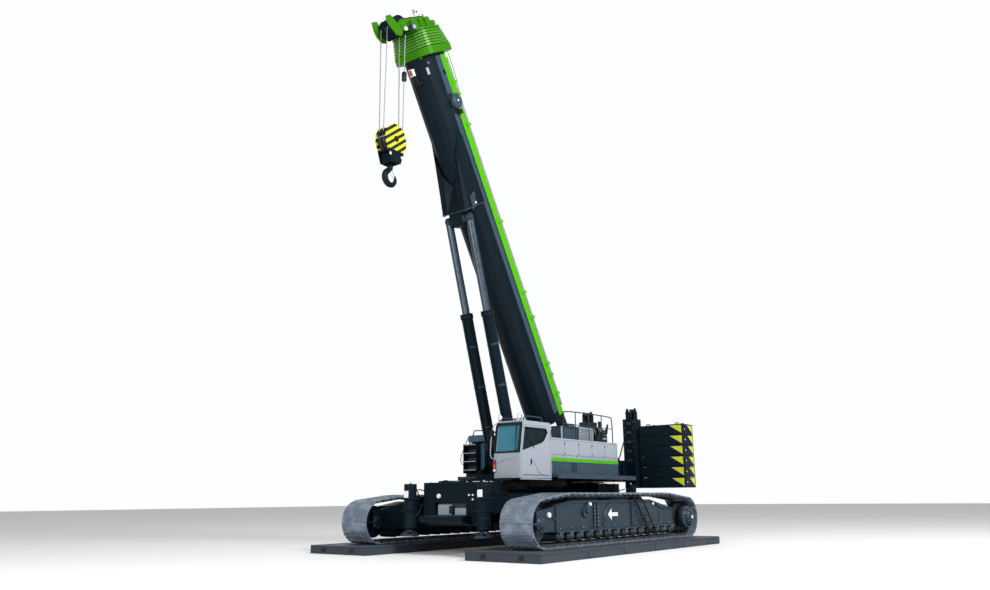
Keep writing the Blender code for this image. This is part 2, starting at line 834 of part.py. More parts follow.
def build_housing():
    """The left machinery housing: a box open behind its doors and under its front."""
    front, rear = HOUSING_FRONT, HOUSING_REAR
    wall = HOUSING_WALL
    shell = box("machinery_housing", (rear, HOUSING_INNER, HOUSING_LOW), (front, HOUSING_OUTER, HOUSING_TOP), light(), EDGE)
    hollow_low = (rear + wall, HOUSING_INNER + wall, HOUSING_LOW + wall)
    hollow = box("housing_hollow", hollow_low, (front - wall, HOUSING_OUTER - wall, HOUSING_TOP - wall), light())
    cutters = [hollow]
    edges = door_edges()
    for i in range(DOOR_COUNT):
        low = (edges[i + 1] + 0.025, HOUSING_OUTER - 0.1, DOOR_LOW + 0.03)
        high = (edges[i] - 0.025, HOUSING_OUTER + 0.1, DOOR_TOP - 0.03)
        cutters.append(box(f"doorway_{i + 1}", low, high, light()))
    rebate_low = (edges[-1] - DOOR_CLEARANCE, HOUSING_OUTER - DOOR_THICKNESS - GAP, DOOR_LOW - DOOR_CLEARANCE)
    rebate_high = (edges[0] + DOOR_CLEARANCE, HOUSING_OUTER + 0.1, DOOR_TOP + DOOR_CLEARANCE)
    cutters.append(box("door_rebate", rebate_low, rebate_high, light()))
    return cut(shell, cutters)


def build_housing_doors():
    """Five doors side by side, each with its origin on the hinge at its front edge."""
    edges = door_edges()
    doors = []
    for i in range(DOOR_COUNT):
        low = (edges[i + 1] + DOOR_CLEARANCE / 2, HOUSING_OUTER - DOOR_THICKNESS, DOOR_LOW)
        high = (edges[i] - DOOR_CLEARANCE / 2, HOUSING_OUTER, DOOR_TOP)
        doors.append(box(f"housing_door_{i + 1}", low, high, light()))
    return doors


def build_tank():
    """The right tank, its top front corner rounded, with four steps up its front."""
    corner = 0.35
    arc = [math.radians(90 - 18 * i) for i in range(6)]
    outline = [(HOUSING_REAR, HOUSING_LOW), (HOUSING_REAR, HOUSING_TOP)]
    centre_x, centre_z = HOUSING_FRONT - corner, HOUSING_TOP - corner
    outline += [(centre_x + corner * math.cos(a), centre_z + corner * math.sin(a)) for a in arc]
    outline.append((HOUSING_FRONT, HOUSING_LOW))
    tank = prism_y("side_tank", outline, -HOUSING_OUTER, -HOUSING_INNER, slate())
    steps = []
    for i in range(4):
        z = 2.42 + 0.27 * i
        low = (HOUSING_FRONT - 0.05, -1.55, z)
        steps.append(box(f"tank_step_{i}", low, (HOUSING_FRONT + 0.24, -1.05, z + 0.04), slate()))
    for y in (-1.57, -1.03):
        rail_low = (HOUSING_FRONT - 0.05, y - 0.02, 2.36)
        steps.append(box(f"step_rail_{y}", rail_low, (HOUSING_FRONT + 0.22, y + 0.02, 3.30), slate()))
    return join(tank, steps)


def build_catwalk(side, label):
    low_y, high_y = sorted((side * (HOUSING_INNER + 0.02), side * (HOUSING_OUTER + 0.33)))
    low = (HOUSING_REAR - 0.62, low_y, HOUSING_LOW - 0.08 + GAP)
    walk = box(f"catwalk_{label}", low, (HOUSING_FRONT + 0.02, high_y, HOUSING_LOW - GAP), slate())
    return walk


def build_engine():
    low_z = HOUSING_LOW + HOUSING_WALL + GAP
    return box("engine", (-2.60, HOUSING_INNER + 0.10, low_z), (-0.90, HOUSING_OUTER - 0.14, 3.10), slate(), 0.03)


def build_roof_boxes():
    """The battery box, the cooler and the exhaust silencer on the housing's roof."""
    floor = HOUSING_TOP + GAP
    cabinet = box("control_cabinet", (-0.84, 0.92, floor), (0.10, 1.36, 3.82), slate(), EDGE)
    cooler = box("cooler", (-1.78, 0.92, floor), (-0.90, 1.36, 3.86), light(), EDGE)
    silencer = rod("silencer_body", (-2.72, 1.16, 3.72), (-1.98, 1.16, 3.72), 0.19, slate(), 20)
    silencer.name = "exhaust_silencer"
    feet = []
    for x in (-2.56, -2.18):
        feet.append(box(f"silencer_foot_{x}", (x, 1.06, floor), (x + 0.06, 1.26, 3.62), slate()))
    stack = rod("tail_pipe", (-2.62, 1.16, 3.78), (-2.62, 1.16, 4.14), 0.06, slate(), 16)
    join(silencer, feet + [stack])
    return [cabinet, cooler, silencer]


def build_handrail():
    """The rail round the housing's roof: posts, a top rail and a middle rail."""
    rear, front = HOUSING_REAR + 0.10, 0.30
    y = HOUSING_OUTER - 0.12
    top = HOUSING_TOP + 0.92
    rail = rod("roof_handrail", (rear, y, top), (front, y, top), 0.02, slate(), 6)
    parts = [rod("middle_rail", (rear, y, top - 0.42), (front, y, top - 0.42), 0.014, slate(), 6)]
    count = 5
    for i in range(count):
        x = rear + 0.02 + (front - rear - 0.04) * i / (count - 1)
        parts.append(rod(f"rail_post_{i}", (x, y, HOUSING_TOP + GAP), (x, y, top), 0.018, slate(), 6))
    return join(rail, parts)


def build_winch():
    """The hoist drum, wound with rope, on its shaft between the two side plates."""
    reach = EAR_INNER - GAP
    profile = [
        (-reach, 0.10),
        (-0.52, 0.10),
        (-0.52, 0.46),
        (-0.48, 0.46),
        (-0.48, 0.37),
        (0.48, 0.37),
        (0.48, 0.46),
        (0.52, 0.46),
        (0.52, 0.10),
        (reach, 0.10),
    ]
    return turned("winch_drum", (-3.75, 0, 2.80), (0, 1, 0), profile, worn_steel(), 28)


def build_ballast_carrier():
    """The cross beam behind the frame with its two lifting masts and the arms under the slabs."""
    low_x, high_x = DECK_REAR - 0.62, DECK_REAR - GAP
    beam = box("ballast_carrier", (low_x, -1.22, DECK_LOW), (high_x, 1.22, 2.85), slate())
    parts = []
    for side in (-1, 1):
        low_y, high_y = sorted((side * 0.72, side * 1.20))
        mast_low = (low_x + 0.04, low_y, BALLAST_LOW)
        parts.append(box(f"mast_{side}", mast_low, (high_x - 0.04, high_y, 4.42), slate()))
        arm_low_y, arm_high_y = sorted((side * 1.0, side * (BALLAST_INNER + 0.5)))
        arm_low = (low_x + 0.1, arm_low_y, BALLAST_LOW + 0.08)
        arm_high = (high_x - 0.3, arm_high_y, BALLAST_LOW + 0.26)
        parts.append(box(f"slab_arm_{side}", arm_low, arm_high, slate()))
        for i, y in enumerate((side * 0.80, side * 1.12)):
            cheek = (low_x + 0.20, y - 0.03, 4.38)
            parts.append(box(f"mast_head_{side}_{i}", cheek, (high_x - 0.20, y + 0.03, 4.72), slate()))
    return join(beam, parts)


def build_ballast(side, label):
    """Six slabs, stacked on the spigot that passes up through them."""
    pitch = (BALLAST_TOP - BALLAST_LOW) / SLAB_COUNT
    low_y, high_y = sorted((side * BALLAST_INNER, side * BALLAST_OUTER))
    middle_x = (BALLAST_FRONT + BALLAST_REAR) / 2
    spigot_low = (middle_x - 0.25, low_y + 0.5, BALLAST_LOW + 0.1)
    stack = box(f"counterweight_{label}", spigot_low, (middle_x + 0.25, high_y - 0.5, BALLAST_TOP - 0.1), slate())
    slabs = []
    for i in range(SLAB_COUNT):
        low = (BALLAST_REAR, low_y, BALLAST_LOW + i * pitch)
        high = (BALLAST_FRONT, high_y, BALLAST_LOW + (i + 1) * pitch - SLAB_JOINT)
        slabs.append(box(f"slab_{label}_{i}", low, high, slate()))
    join(stack, slabs)
    low_x, high_x = DECK_REAR - 0.62, DECK_REAR
    arm_low_y, arm_high_y = sorted((side * (BALLAST_INNER - 0.3), side * (BALLAST_INNER + 0.5 + GAP)))
    slot_low = (low_x + 0.1 - GAP, arm_low_y, BALLAST_LOW + 0.08 - GAP)
    slot_high = (high_x - 0.3, arm_high_y, BALLAST_LOW + 0.26 + GAP)
    return cut(stack, [box(f"slab_slot_{label}", slot_low, slot_high, slate())])


# ---------------------------------------------------------------- boom


def boom_point(along, across_it, y=0.0):
    """A point given by its distance along the boom from the foot pin and its height across it."""
    direction = Vector((math.cos(BOOM_ANGLE), 0, math.sin(BOOM_ANGLE)))
    normal = Vector((-math.sin(BOOM_ANGLE), 0, math.cos(BOOM_ANGLE)))
    return Vector((BOOM_PIN_X, y, BOOM_PIN_Z)) + direction * along + normal * across_it


def section_profile(inset):
    """A boom section's (y, height) outline: flat roof, upright sides and a rounded belly."""
    half = BOOM_HALF_WIDTH - inset
    roof = BOOM_ROOF - inset
    belly_centre = BOOM_ROOF - BOOM_DEPTH + BOOM_HALF_WIDTH
    chamfer = 0.05
    outline = [(half, roof - chamfer), (half - chamfer, roof), (-half + chamfer, roof), (-half, roof - chamfer)]
    steps = 10
    for i in range(steps + 1):
        angle = math.pi + math.pi * i / steps
        outline.append((half * math.cos(angle), belly_centre + half * math.sin(angle)))
    return outline


def collar_profile(index):
    """The (y, height) outline of a section's front collar, which is squarer than the section."""
    half = COLLAR_HALF_WIDTH - COLLAR_TAPER * index
    roof = BOOM_ROOF + COLLAR_RISE - COLLAR_TAPER * index
    low = COLLAR_LOW + 1.4 * COLLAR_TAPER * index
    centre = -0.30
    chamfer = 0.12
    outline = [(half, roof - chamfer), (half - chamfer, roof), (-half + chamfer, roof), (-half, roof - chamfer)]
    steps = 10
    for i in range(steps + 1):
        angle = math.pi + math.pi * i / steps
        cosine = math.cos(angle)
        bulge = abs(math.sin(angle)) ** 0.55
        outline.append((math.copysign(half * abs(cosine) ** 0.55, cosine), centre + (low - centre) * bulge))
    return outline


def boom_ring(along, outline):
    return [boom_point(along, height, y) for y, height in outline]


def boom_tube(name, stations, finish):
    """A tube from (distance, outer outline, inner outline) stations, open at both ends."""
    shape_rings = [boom_ring(along, outer) for along, outer, _ in stations]
    shape_rings += [boom_ring(along, inner) for along, _, inner in reversed(stations)]
    return from_rings(name, shape_rings, finish, closed=True)


def section_end(index):
    """How far along the boom a retracted section's collar begins; 0 is the base."""
    if index == 0:
        return BASE_END - BASE_COLLAR_LENGTH
    return BASE_END + (index - 1) * COLLAR_PITCH + (COLLAR_PITCH - COLLAR_LENGTH)


def build_boom_base():
    inset = 0.0
    outer = section_profile(inset)
    inner = section_profile(inset + BOOM_WALL)
    collar = collar_profile(0)
    start = section_end(0)
    stations = [
        (0.62, outer, inner),
        (start, outer, inner),
        (start, collar, inner),
        (BASE_END, collar, inner),
    ]
    tube = boom_tube("boom_base", stations, slate())
    parts = []
    for side in (-1, 1):
        low, high = sorted((side * (BOOM_HALF_WIDTH - 0.075), side * (BOOM_HALF_WIDTH - 0.004)))
        outline = [(-BOOM_FOOT + 0.08, -0.22), (-BOOM_FOOT, 0.0), (-BOOM_FOOT + 0.08, 0.24), (0.9, BOOM_ROOF - 0.03)]
        outline += [(0.9, BOOM_ROOF - BOOM_DEPTH + BOOM_HALF_WIDTH - 0.02), (0.3, -0.28)]
        rings = []
        for y in (low, high):
            rings.append([boom_point(along, height, y) for along, height in outline])
        parts.append(from_rings(f"foot_plate_{side}", rings, slate()))
    reach = EAR_INNER - GAP
    parts.append(across("foot_boss", BOOM_PIN_X, BOOM_PIN_Z, -reach, reach, 0.20, slate(), 32))
    join(tube, parts + saddle_parts())
    return tube


def luff_eye_on_boom():
    """The rods' pin, as (distance along, height across) the boom."""
    dx, dz = LUFF_EYE_X - BOOM_PIN_X, LUFF_EYE_Z - BOOM_PIN_Z
    along = dx * math.cos(BOOM_ANGLE) + dz * math.sin(BOOM_ANGLE)
    height = -dx * math.sin(BOOM_ANGLE) + dz * math.cos(BOOM_ANGLE)
    return along, height


def saddle_parts():
    """The wedge under the boom between the two rod eyes, with the web that it grows from."""
    along, height = luff_eye_on_boom()
    belly = BOOM_ROOF - BOOM_DEPTH
    outline = [
        (along + 2.9, belly + 0.25),
        (along + 2.9, belly - 0.02),
        (along + 0.22, height - 0.10),
        (along, height - 0.17),
        (along - 0.20, height - 0.10),
        (along - 0.32, belly - 0.02),
        (along - 0.32, belly + 0.25),
    ]
    rings = []
    for y in (-SADDLE_HALF_WIDTH, SADDLE_HALF_WIDTH):
        rings.append([boom_point(a, h, y) for a, h in outline])
    saddle = from_rings("saddle", rings, slate())
    bore = section_profile(BOOM_WALL / 2)
    plug = from_rings("saddle_cutter", [boom_ring(along - 1, bore), boom_ring(along + 4, bore)], slate())
    return [cut(saddle, [plug])]


def build_section(index):
    """A telescopic section: a tube with a pad at its rear end and a collar at its front."""
    inset = index * SECTION_STEP
    outer = section_profile(inset)
    inner = section_profile(inset + BOOM_WALL)
    pad = section_profile(inset - SECTION_STEP + BOOM_WALL + GAP)
    collar = collar_profile(index)
    rear = SECTION_START + index * SECTION_STEP_BACK
    start = section_end(index)
    end = start + COLLAR_LENGTH
    stations = [
        (rear, pad, inner),
        (rear + PAD_LENGTH, pad, inner),
        (rear + PAD_LENGTH, outer, inner),
        (start, outer, inner),
        (start, collar, inner),
        (end, collar, inner),
    ]
    section = boom_tube(f"boom_section_{index}", stations, green() if index else slate())
    if index == SECTION_COUNT:
        join(section, head_parts(end))
    return section


def plate_on_boom(name, outline, low, high, finish):
    rings = []
    for y in (low, high):
        rings.append([boom_point(a, h, y) for a, h in outline])
    return from_rings(name, rings, finish)


def head_parts(start):
    """The weldment on the last section: two cheeks that carry the sheaves, and its webs."""
    parts = []
    end = start + HEAD_LENGTH - 0.25
    low_height = HEAD_SHEAVE_ACROSS
    for side in (-1, 1):
        inner = side * (SHEAVE_PACK_HALF + GAP)
        low, high = sorted((inner, inner + side * CHEEK))
        outline = [
            (start - 0.05, -0.55),
            (HEAD_SHEAVE_ALONG - 0.20, low_height - 0.12),
            (HEAD_SHEAVE_ALONG + 0.16, low_height - 0.16),
            (HEAD_SHEAVE_ALONG + 0.30, low_height + 0.10),
            (end, -0.30),
            (end, 0.34),
            (end - 0.22, 0.44),
            (start - 0.05, 0.28),
        ]
        parts.append(plate_on_boom(f"head_cheek_{side}", outline, low, high, green()))
    web = [(start - 0.05, -0.52), (start + 0.05, -0.52), (start + 0.05, 0.26), (start - 0.05, 0.26)]
    half = SHEAVE_PACK_HALF + CHEEK
    parts.append(plate_on_boom("head_web", web, -half, half, green()))
    roof = [(start - 0.05, 0.18), (end - 0.30, 0.28), (end - 0.30, 0.34), (start - 0.05, 0.24)]
    parts.append(plate_on_boom("head_roof", roof, -half, half, green()))
    return parts


def build_head_sheaves():
    """The lower sheaves on their shaft; they turn freely."""
    centre = boom_point(HEAD_SHEAVE_ALONG, HEAD_SHEAVE_ACROSS)
    grooves = 4
    pitch = 2 * (SHEAVE_PACK_HALF - 0.01) / grooves
    profile = [(-SHEAVE_PACK_HALF, 0.12), (-SHEAVE_PACK_HALF + 0.01, 0.12)]
    for i in range(grooves):
        low = -SHEAVE_PACK_HALF + 0.01 + i * pitch
        profile += [
            (low + 0.01, SHEAVE_RADIUS),
            (low + 0.03, SHEAVE_RADIUS),
            (low + pitch / 2, SHEAVE_RADIUS - GROOVE_DEPTH),
            (low + pitch - 0.03, SHEAVE_RADIUS),
            (low + pitch - 0.01, SHEAVE_RADIUS),
        ]
    profile += [(SHEAVE_PACK_HALF - 0.01, 0.12), (SHEAVE_PACK_HALF, 0.12)]
    return turned("head_sheaves", centre, (0, 1, 0), profile, black(), 24)


# ---------------------------------------------------------------- luffing cylinders


def build_luff_barrel(side, label):
    foot = Vector((LUFF_FOOT_X, side * LUFF_Y, LUFF_FOOT_Z))
    eye = Vector((LUFF_EYE_X, side * LUFF_Y, LUFF_EYE_Z))
    direction = (eye - foot).normalized()
    profile = [
        (0.13, 0.10),
        (0.36, 0.10),
        (0.46, BARREL_RADIUS),
        (BARREL_LENGTH - 0.16, BARREL_RADIUS),
        (BARREL_LENGTH - 0.16, BARREL_RADIUS + 0.035),
        (BARREL_LENGTH, BARREL_RADIUS + 0.035),
    ]
    barrel = turned(f"luff_barrel_{label}", foot, direction, profile, slate(), 20)
    low, high = side * LUFF_Y - EYE_HALF_WIDTH, side * LUFF_Y + EYE_HALF_WIDTH
    join(barrel, [across(f"barrel_eye_{label}", LUFF_FOOT_X, LUFF_FOOT_Z, low, high, EYE_RADIUS, slate(), 20)])
    bore = rod(
        f"barrel_bore_{label}",
        foot + direction * 0.55,
        foot + direction * (BARREL_LENGTH + 0.1),
        ROD_RADIUS + GAP,
        slate(),
        20,
    )
    seat_radius = BALL_RADIUS + SEAT_CLEARANCE
    seat = across(f"barrel_seat_{label}", LUFF_FOOT_X, LUFF_FOOT_Z, low - 0.1, high + 0.1, seat_radius, slate(), 32)
    return cut(barrel, [bore, seat])


def build_luff_rod(side, label):
    foot = Vector((LUFF_FOOT_X, side * LUFF_Y, LUFF_FOOT_Z))
    eye = Vector((LUFF_EYE_X, side * LUFF_Y, LUFF_EYE_Z))
    direction = (eye - foot).normalized()
    length = (eye - foot).length
    start = foot + direction * (BARREL_LENGTH - 1.35)
    shaft = rod(f"luff_rod_{label}", start, foot + direction * (length - 0.08), ROD_RADIUS, chrome(), 20)
    low, high = side * LUFF_Y - ROD_EYE_HALF_WIDTH, side * LUFF_Y + ROD_EYE_HALF_WIDTH
    return join(shaft, [across(f"rod_eye_{label}", LUFF_EYE_X, LUFF_EYE_Z, low, high, EYE_RADIUS - 0.02, slate(), 20)])


# ---------------------------------------------------------------- hook


def hang_x():
    """The hook hangs under the middle of the head sheaves."""
    return boom_point(HEAD_SHEAVE_ALONG, HEAD_SHEAVE_ACROSS).x


def build_limit_weight():
    """The rearmost fall of the hoist rope, with the weight round it that trips the limit switch."""
    head = boom_point(HEAD_SHEAVE_ALONG, HEAD_SHEAVE_ACROSS)
    x = head.x - (SHEAVE_RADIUS - GROOVE_DEPTH + ROPE_LIFT)
    base = (x, (SHEAVE_PACK_HALF - 0.01) / 4, block_centre().z)
    length = head.z - base[2]
    weight = length - LIMIT_WEIGHT_DROP
    profile = [
        (0.0, ROPE_RADIUS),
        (weight, ROPE_RADIUS),
        (weight, 0.07),
        (weight + 0.02, 0.085),
        (weight + 0.30, 0.085),
        (weight + 0.32, 0.06),
        (weight + 0.32, ROPE_RADIUS),
        (length, ROPE_RADIUS),
    ]
    return turned("hoist_limit_weight", base, (0, 0, 1), profile, black(), 16)


def block_centre():
    return Vector((hang_x(), 0, BLOCK_TOP - 0.52))


def build_hook_block():
    """Two cheek plates joined by a crosshead below and spacers above."""
    centre = block_centre()
    top, low = BLOCK_TOP, BLOCK_TOP - BLOCK_HEIGHT
    x = centre.x
    outline = [
        (x - 0.22, low),
        (x + 0.22, low),
        (x + BLOCK_HALF_LENGTH, centre.z - 0.12),
        (x + BLOCK_HALF_LENGTH - 0.04, centre.z + 0.22),
        (x + 0.20, top),
        (x - 0.20, top),
        (x - BLOCK_HALF_LENGTH + 0.04, centre.z + 0.22),
        (x - BLOCK_HALF_LENGTH, centre.z - 0.12),
    ]
    inner = BLOCK_SHEAVE_HALF + 0.02
    block = prism_y("hook_block", outline, inner, inner + BLOCK_PLATE, yellow())
    other = prism_y("block_cheek", outline, -inner - BLOCK_PLATE, -inner, yellow())
    cross = box("crosshead", (x - 0.20, -inner - 0.01, low), (x + 0.20, inner + 0.01, low + 0.14), slate())
    spacer = across("block_spacer", x, top - 0.05, -inner - 0.01, inner + 0.01, 0.035, slate(), 12)
    return join(block, [other, cross, spacer])


def build_block_sheaves():
    centre = block_centre()
    half = BLOCK_SHEAVE_HALF + 0.02 - GAP
    profile = [(-half, 0.09), (-half + 0.03, 0.09)]
    grooves = 2
    pitch = 2 * (half - 0.03) / grooves
    radius = SHEAVE_RADIUS
    for i in range(grooves):
        low = -half + 0.03 + i * pitch
        profile += [
            (low + 0.01, radius),
            (low + 0.03, radius),
            (low + pitch / 2, radius - GROOVE_DEPTH),
            (low + pitch - 0.03, radius),
            (low + pitch - 0.01, radius),
        ]
    profile += [(half - 0.03, 0.09), (half, 0.09)]
    return turned("block_sheaves", centre, (0, 1, 0), profile, black(), 24)


def build_hook():
    """A forged single hook on its shank: a tapered bar bent round the throat."""
    x = hang_x()
    top = BLOCK_TOP - BLOCK_HEIGHT - GAP
    throat = 0.17
    centre_z = top - HOOK_LENGTH + throat + 0.13
    path = [(0.0, top, 0.075), (0.0, top - 0.14, 0.075), (0.0, centre_z + 0.30, 0.085)]
    for i in range(13):
        angle = math.radians(60 - 22.5 * i)
        path.append((throat * 1.25 * math.cos(angle), centre_z + throat * 1.25 * math.sin(angle), 0.105 - 0.0055 * i))
    rings = []
    for i, (dx, z, radius) in enumerate(path):
        before = Vector((path[max(i - 1, 0)][0], path[max(i - 1, 0)][1]))
        after = Vector((path[min(i + 1, len(path) - 1)][0], path[min(i + 1, len(path) - 1)][1]))
        heading = (after - before).normalized()
        side = Vector((heading.y, -heading.x))
        ring = []
        for u, v in circle(radius, 12):
            ring.append(Vector((x + dx + side.x * u, v, z + side.y * u)))
        rings.append(ring)
    return from_rings("hook", rings, slate())


# ---------------------------------------------------------------- assembly


def parent(children, name, point):
    """Puts the pieces under an empty that stands on their joint's axis."""
    empty = bpy.data.objects.new(name, None)
    empty.location = point
    bpy.context.scene.collection.objects.link(empty)
    for child in children:
        child.parent = empty
        child.matrix_parent_inverse = Matrix.Translation(-Vector(point))
    return empty


def build_undercarriage():
    for side, label in ((1, "left"), (-1, "right")):
        build_mat(side, label)
        build_track(side, label)
        build_track_frame(side, label)
        build_sprocket(side, label)
    build_carbody()
    build_slewing_ring()
    for end, where in ((1, "front"), (-1, "rear")):
        build_end_weight(end, where)
        for side, label in ((1, "left"), (-1, "right")):
            build_jack_foot(end, side, f"{where}_{label}")


def build_upper():
    pieces = [build_upper_frame(), build_seat(), build_console(), build_housing(), build_tank()]
    pieces += build_cab()
    pieces += [build_catwalk(1, "left"), build_catwalk(-1, "right"), build_engine()]
    pieces += build_roof_boxes()
    pieces += [build_handrail(), build_ballast_carrier()]
    pieces += [build_ballast(1, "left"), build_ballast(-1, "right")]
    parent(pieces, "slew_axis", (0, 0, DECK_LOW))
    parent(build_cab_door(), "cab_door_hinge", (*cab_hinge(), DOOR_SILL))
    for door, edge in zip(build_housing_doors(), door_edges()):
        parent([door], f"{door.name}_hinge", (edge, HOUSING_OUTER, DOOR_LOW))
    parent([build_winch()], "winch_axis", (-3.75, 0, 2.80))


def build_boom():
    pieces = [build_boom_base()]
    pieces += [build_section(index) for index in range(1, SECTION_COUNT + 1)]
    parent(pieces, "boom_foot_pin", (BOOM_PIN_X, 0, BOOM_PIN_Z))
    parent([build_head_sheaves()], "head_sheave_axis", boom_point(HEAD_SHEAVE_ALONG, HEAD_SHEAVE_ACROSS))
    for side, label in ((1, "left"), (-1, "right")):
        foot = (LUFF_FOOT_X, side * LUFF_Y, LUFF_FOOT_Z)
        parent([build_luff_barrel(side, label), build_luff_rod(side, label)], f"luff_foot_{label}", foot)
    hanging = [build_limit_weight(), build_hook_block(), build_block_sheaves(), build_hook()]
    parent(hanging, "rope_hang_axis", boom_point(HEAD_SHEAVE_ALONG, HEAD_SHEAVE_ACROSS))


def main():
    for old in list(bpy.data.objects):
        bpy.data.objects.remove(old, do_unlink=True)
    build_undercarriage()
    build_upper()
    build_boom()


main()
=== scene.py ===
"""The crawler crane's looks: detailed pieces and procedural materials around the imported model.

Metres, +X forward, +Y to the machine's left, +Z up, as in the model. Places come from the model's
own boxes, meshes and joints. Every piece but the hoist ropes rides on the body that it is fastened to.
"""

import json
import math
import random

import bmesh
import bpy
from mathutils import Matrix, Vector


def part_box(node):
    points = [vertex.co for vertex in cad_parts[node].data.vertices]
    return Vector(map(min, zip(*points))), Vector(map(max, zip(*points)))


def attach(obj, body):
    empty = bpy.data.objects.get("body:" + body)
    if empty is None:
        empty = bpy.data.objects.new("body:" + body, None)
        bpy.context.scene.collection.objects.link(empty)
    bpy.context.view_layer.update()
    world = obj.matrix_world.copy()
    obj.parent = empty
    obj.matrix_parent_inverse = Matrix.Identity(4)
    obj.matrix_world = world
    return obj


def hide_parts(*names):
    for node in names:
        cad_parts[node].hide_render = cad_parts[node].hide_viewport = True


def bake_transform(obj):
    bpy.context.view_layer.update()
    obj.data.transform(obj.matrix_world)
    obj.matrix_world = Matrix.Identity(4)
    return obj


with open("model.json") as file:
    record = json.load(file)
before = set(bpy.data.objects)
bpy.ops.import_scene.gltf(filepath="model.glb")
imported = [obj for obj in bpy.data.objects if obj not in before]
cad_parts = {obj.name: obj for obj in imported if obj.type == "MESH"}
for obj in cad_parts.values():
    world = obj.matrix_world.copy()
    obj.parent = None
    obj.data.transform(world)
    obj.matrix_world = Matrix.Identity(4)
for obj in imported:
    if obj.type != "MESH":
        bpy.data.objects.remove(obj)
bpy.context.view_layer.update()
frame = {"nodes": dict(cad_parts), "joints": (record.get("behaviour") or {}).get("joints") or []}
joints = {joint["name"]: joint for joint in frame["joints"]}
random.seed(7)

SIDES = ((1, "left"), (-1, "right"))

# ---------------------------------------------------------------- materials


def nodes_for(name):
    made = bpy.data.materials.new(name)
    made.use_nodes = True
    tree = made.node_tree
    shader = tree.nodes["Principled BSDF"]
    coords = tree.nodes.new("ShaderNodeTexCoord")
    return made, tree, shader, coords.outputs["Object"]


def noise(tree, where, scale, detail=4.0, stretch=(1, 1, 1)):
    """A noise value from 0 to 1; stretch below 1 draws it out along that axis."""
    mapping = tree.nodes.new("ShaderNodeMapping")
    mapping.inputs["Scale"].default_value = [scale * part for part in stretch]
    tree.links.new(where, mapping.inputs["Vector"])
    texture = tree.nodes.new("ShaderNodeTexNoise")
    texture.inputs["Scale"].default_value = 1.0
    texture.inputs["Detail"].default_value = detail
    tree.links.new(mapping.outputs["Vector"], texture.inputs["Vector"])
    return texture.outputs["Fac"]


def ramp(tree, value, low, high, from_value=0.0, to_value=1.0):
    """The value spread from low..high to from_value..to_value, smoothly and clamped."""
    spread = tree.nodes.new("ShaderNodeMapRange")
    spread.interpolation_type = "SMOOTHSTEP"
    spread.inputs["From Min"].default_value = low
    spread.inputs["From Max"].default_value = high
    spread.inputs["To Min"].default_value = from_value
    spread.inputs["To Max"].default_value = to_value
    tree.links.new(value, spread.inputs["Value"])
    return spread.outputs["Result"]


def times(tree, first, second):
    product = tree.nodes.new("ShaderNodeMath")
    product.operation = "MULTIPLY"
    tree.links.new(first, product.inputs[0])
    if isinstance(second, float):
        product.inputs[1].default_value = second
    else:
        tree.links.new(second, product.inputs[1])
    return product.outputs[0]


def mix(tree, factor, first, second):
    """A colour between first and second; each is a colour or another node's output."""
    blender = tree.nodes.new("ShaderNodeMix")
    blender.data_type = "RGBA"
    tree.links.new(factor, blender.inputs["Factor"])
    for socket, colour in ((blender.inputs[6], first), (blender.inputs[7], second)):
        if isinstance(colour, tuple):
            socket.default_value = (*colour, 1.0)
        else:
            tree.links.new(colour, socket)
    return blender.outputs[2]


def facing_up(tree):
    geometry = tree.nodes.new("ShaderNodeNewGeometry")
    parts = tree.nodes.new("ShaderNodeSeparateXYZ")
    tree.links.new(geometry.outputs["Normal"], parts.inputs["Vector"])
    return ramp(tree, parts.outputs["Z"], 0.55, 0.98)


def bump(tree, shader, height, distance, strength=1.0):
    node = tree.nodes.new("ShaderNodeBump")
    node.inputs["Distance"].default_value = distance
    node.inputs["Strength"].default_value = strength
    tree.links.new(height, node.inputs["Height"])
    tree.links.new(node.outputs["Normal"], shader.inputs["Normal"])


def paint(name, colour, roughness=0.34, dust=0.25, specular=0.5, coat=0.0, grime=0.35):
    """Sprayed machine paint: orange peel, faint clouding, streaks of grime and settled dust."""
    made, tree, shader, where = nodes_for(name)
    darker = tuple(part * 0.62 for part in colour)
    dusty = tuple(0.72 * part + 0.28 * grey for part, grey in zip(colour, (0.34, 0.35, 0.36)))
    clouds = ramp(tree, noise(tree, where, 0.9, 5.0), 0.40, 0.70)
    streaks = ramp(tree, noise(tree, where, 5.0, 6.0, (1, 1, 0.16)), 0.56, 0.78)
    base = mix(tree, times(tree, streaks, grime), colour, darker)
    specks = ramp(tree, noise(tree, where, 36.0, 3.0), 0.35, 0.75, 0.35, 1.0)
    settled = times(tree, times(tree, facing_up(tree), specks), dust)
    tree.links.new(mix(tree, settled, base, dusty), shader.inputs["Base Color"])
    rough = ramp(tree, clouds, 0.0, 1.0, roughness - 0.05, roughness + 0.09)
    tree.links.new(rough, shader.inputs["Roughness"])
    shader.inputs["Specular IOR Level"].default_value = specular
    shader.inputs["Coat Weight"].default_value = coat
    shader.inputs["Coat Roughness"].default_value = 0.12
    bump(tree, shader, noise(tree, where, 160.0, 2.0), 0.0006, 0.5)
    return made


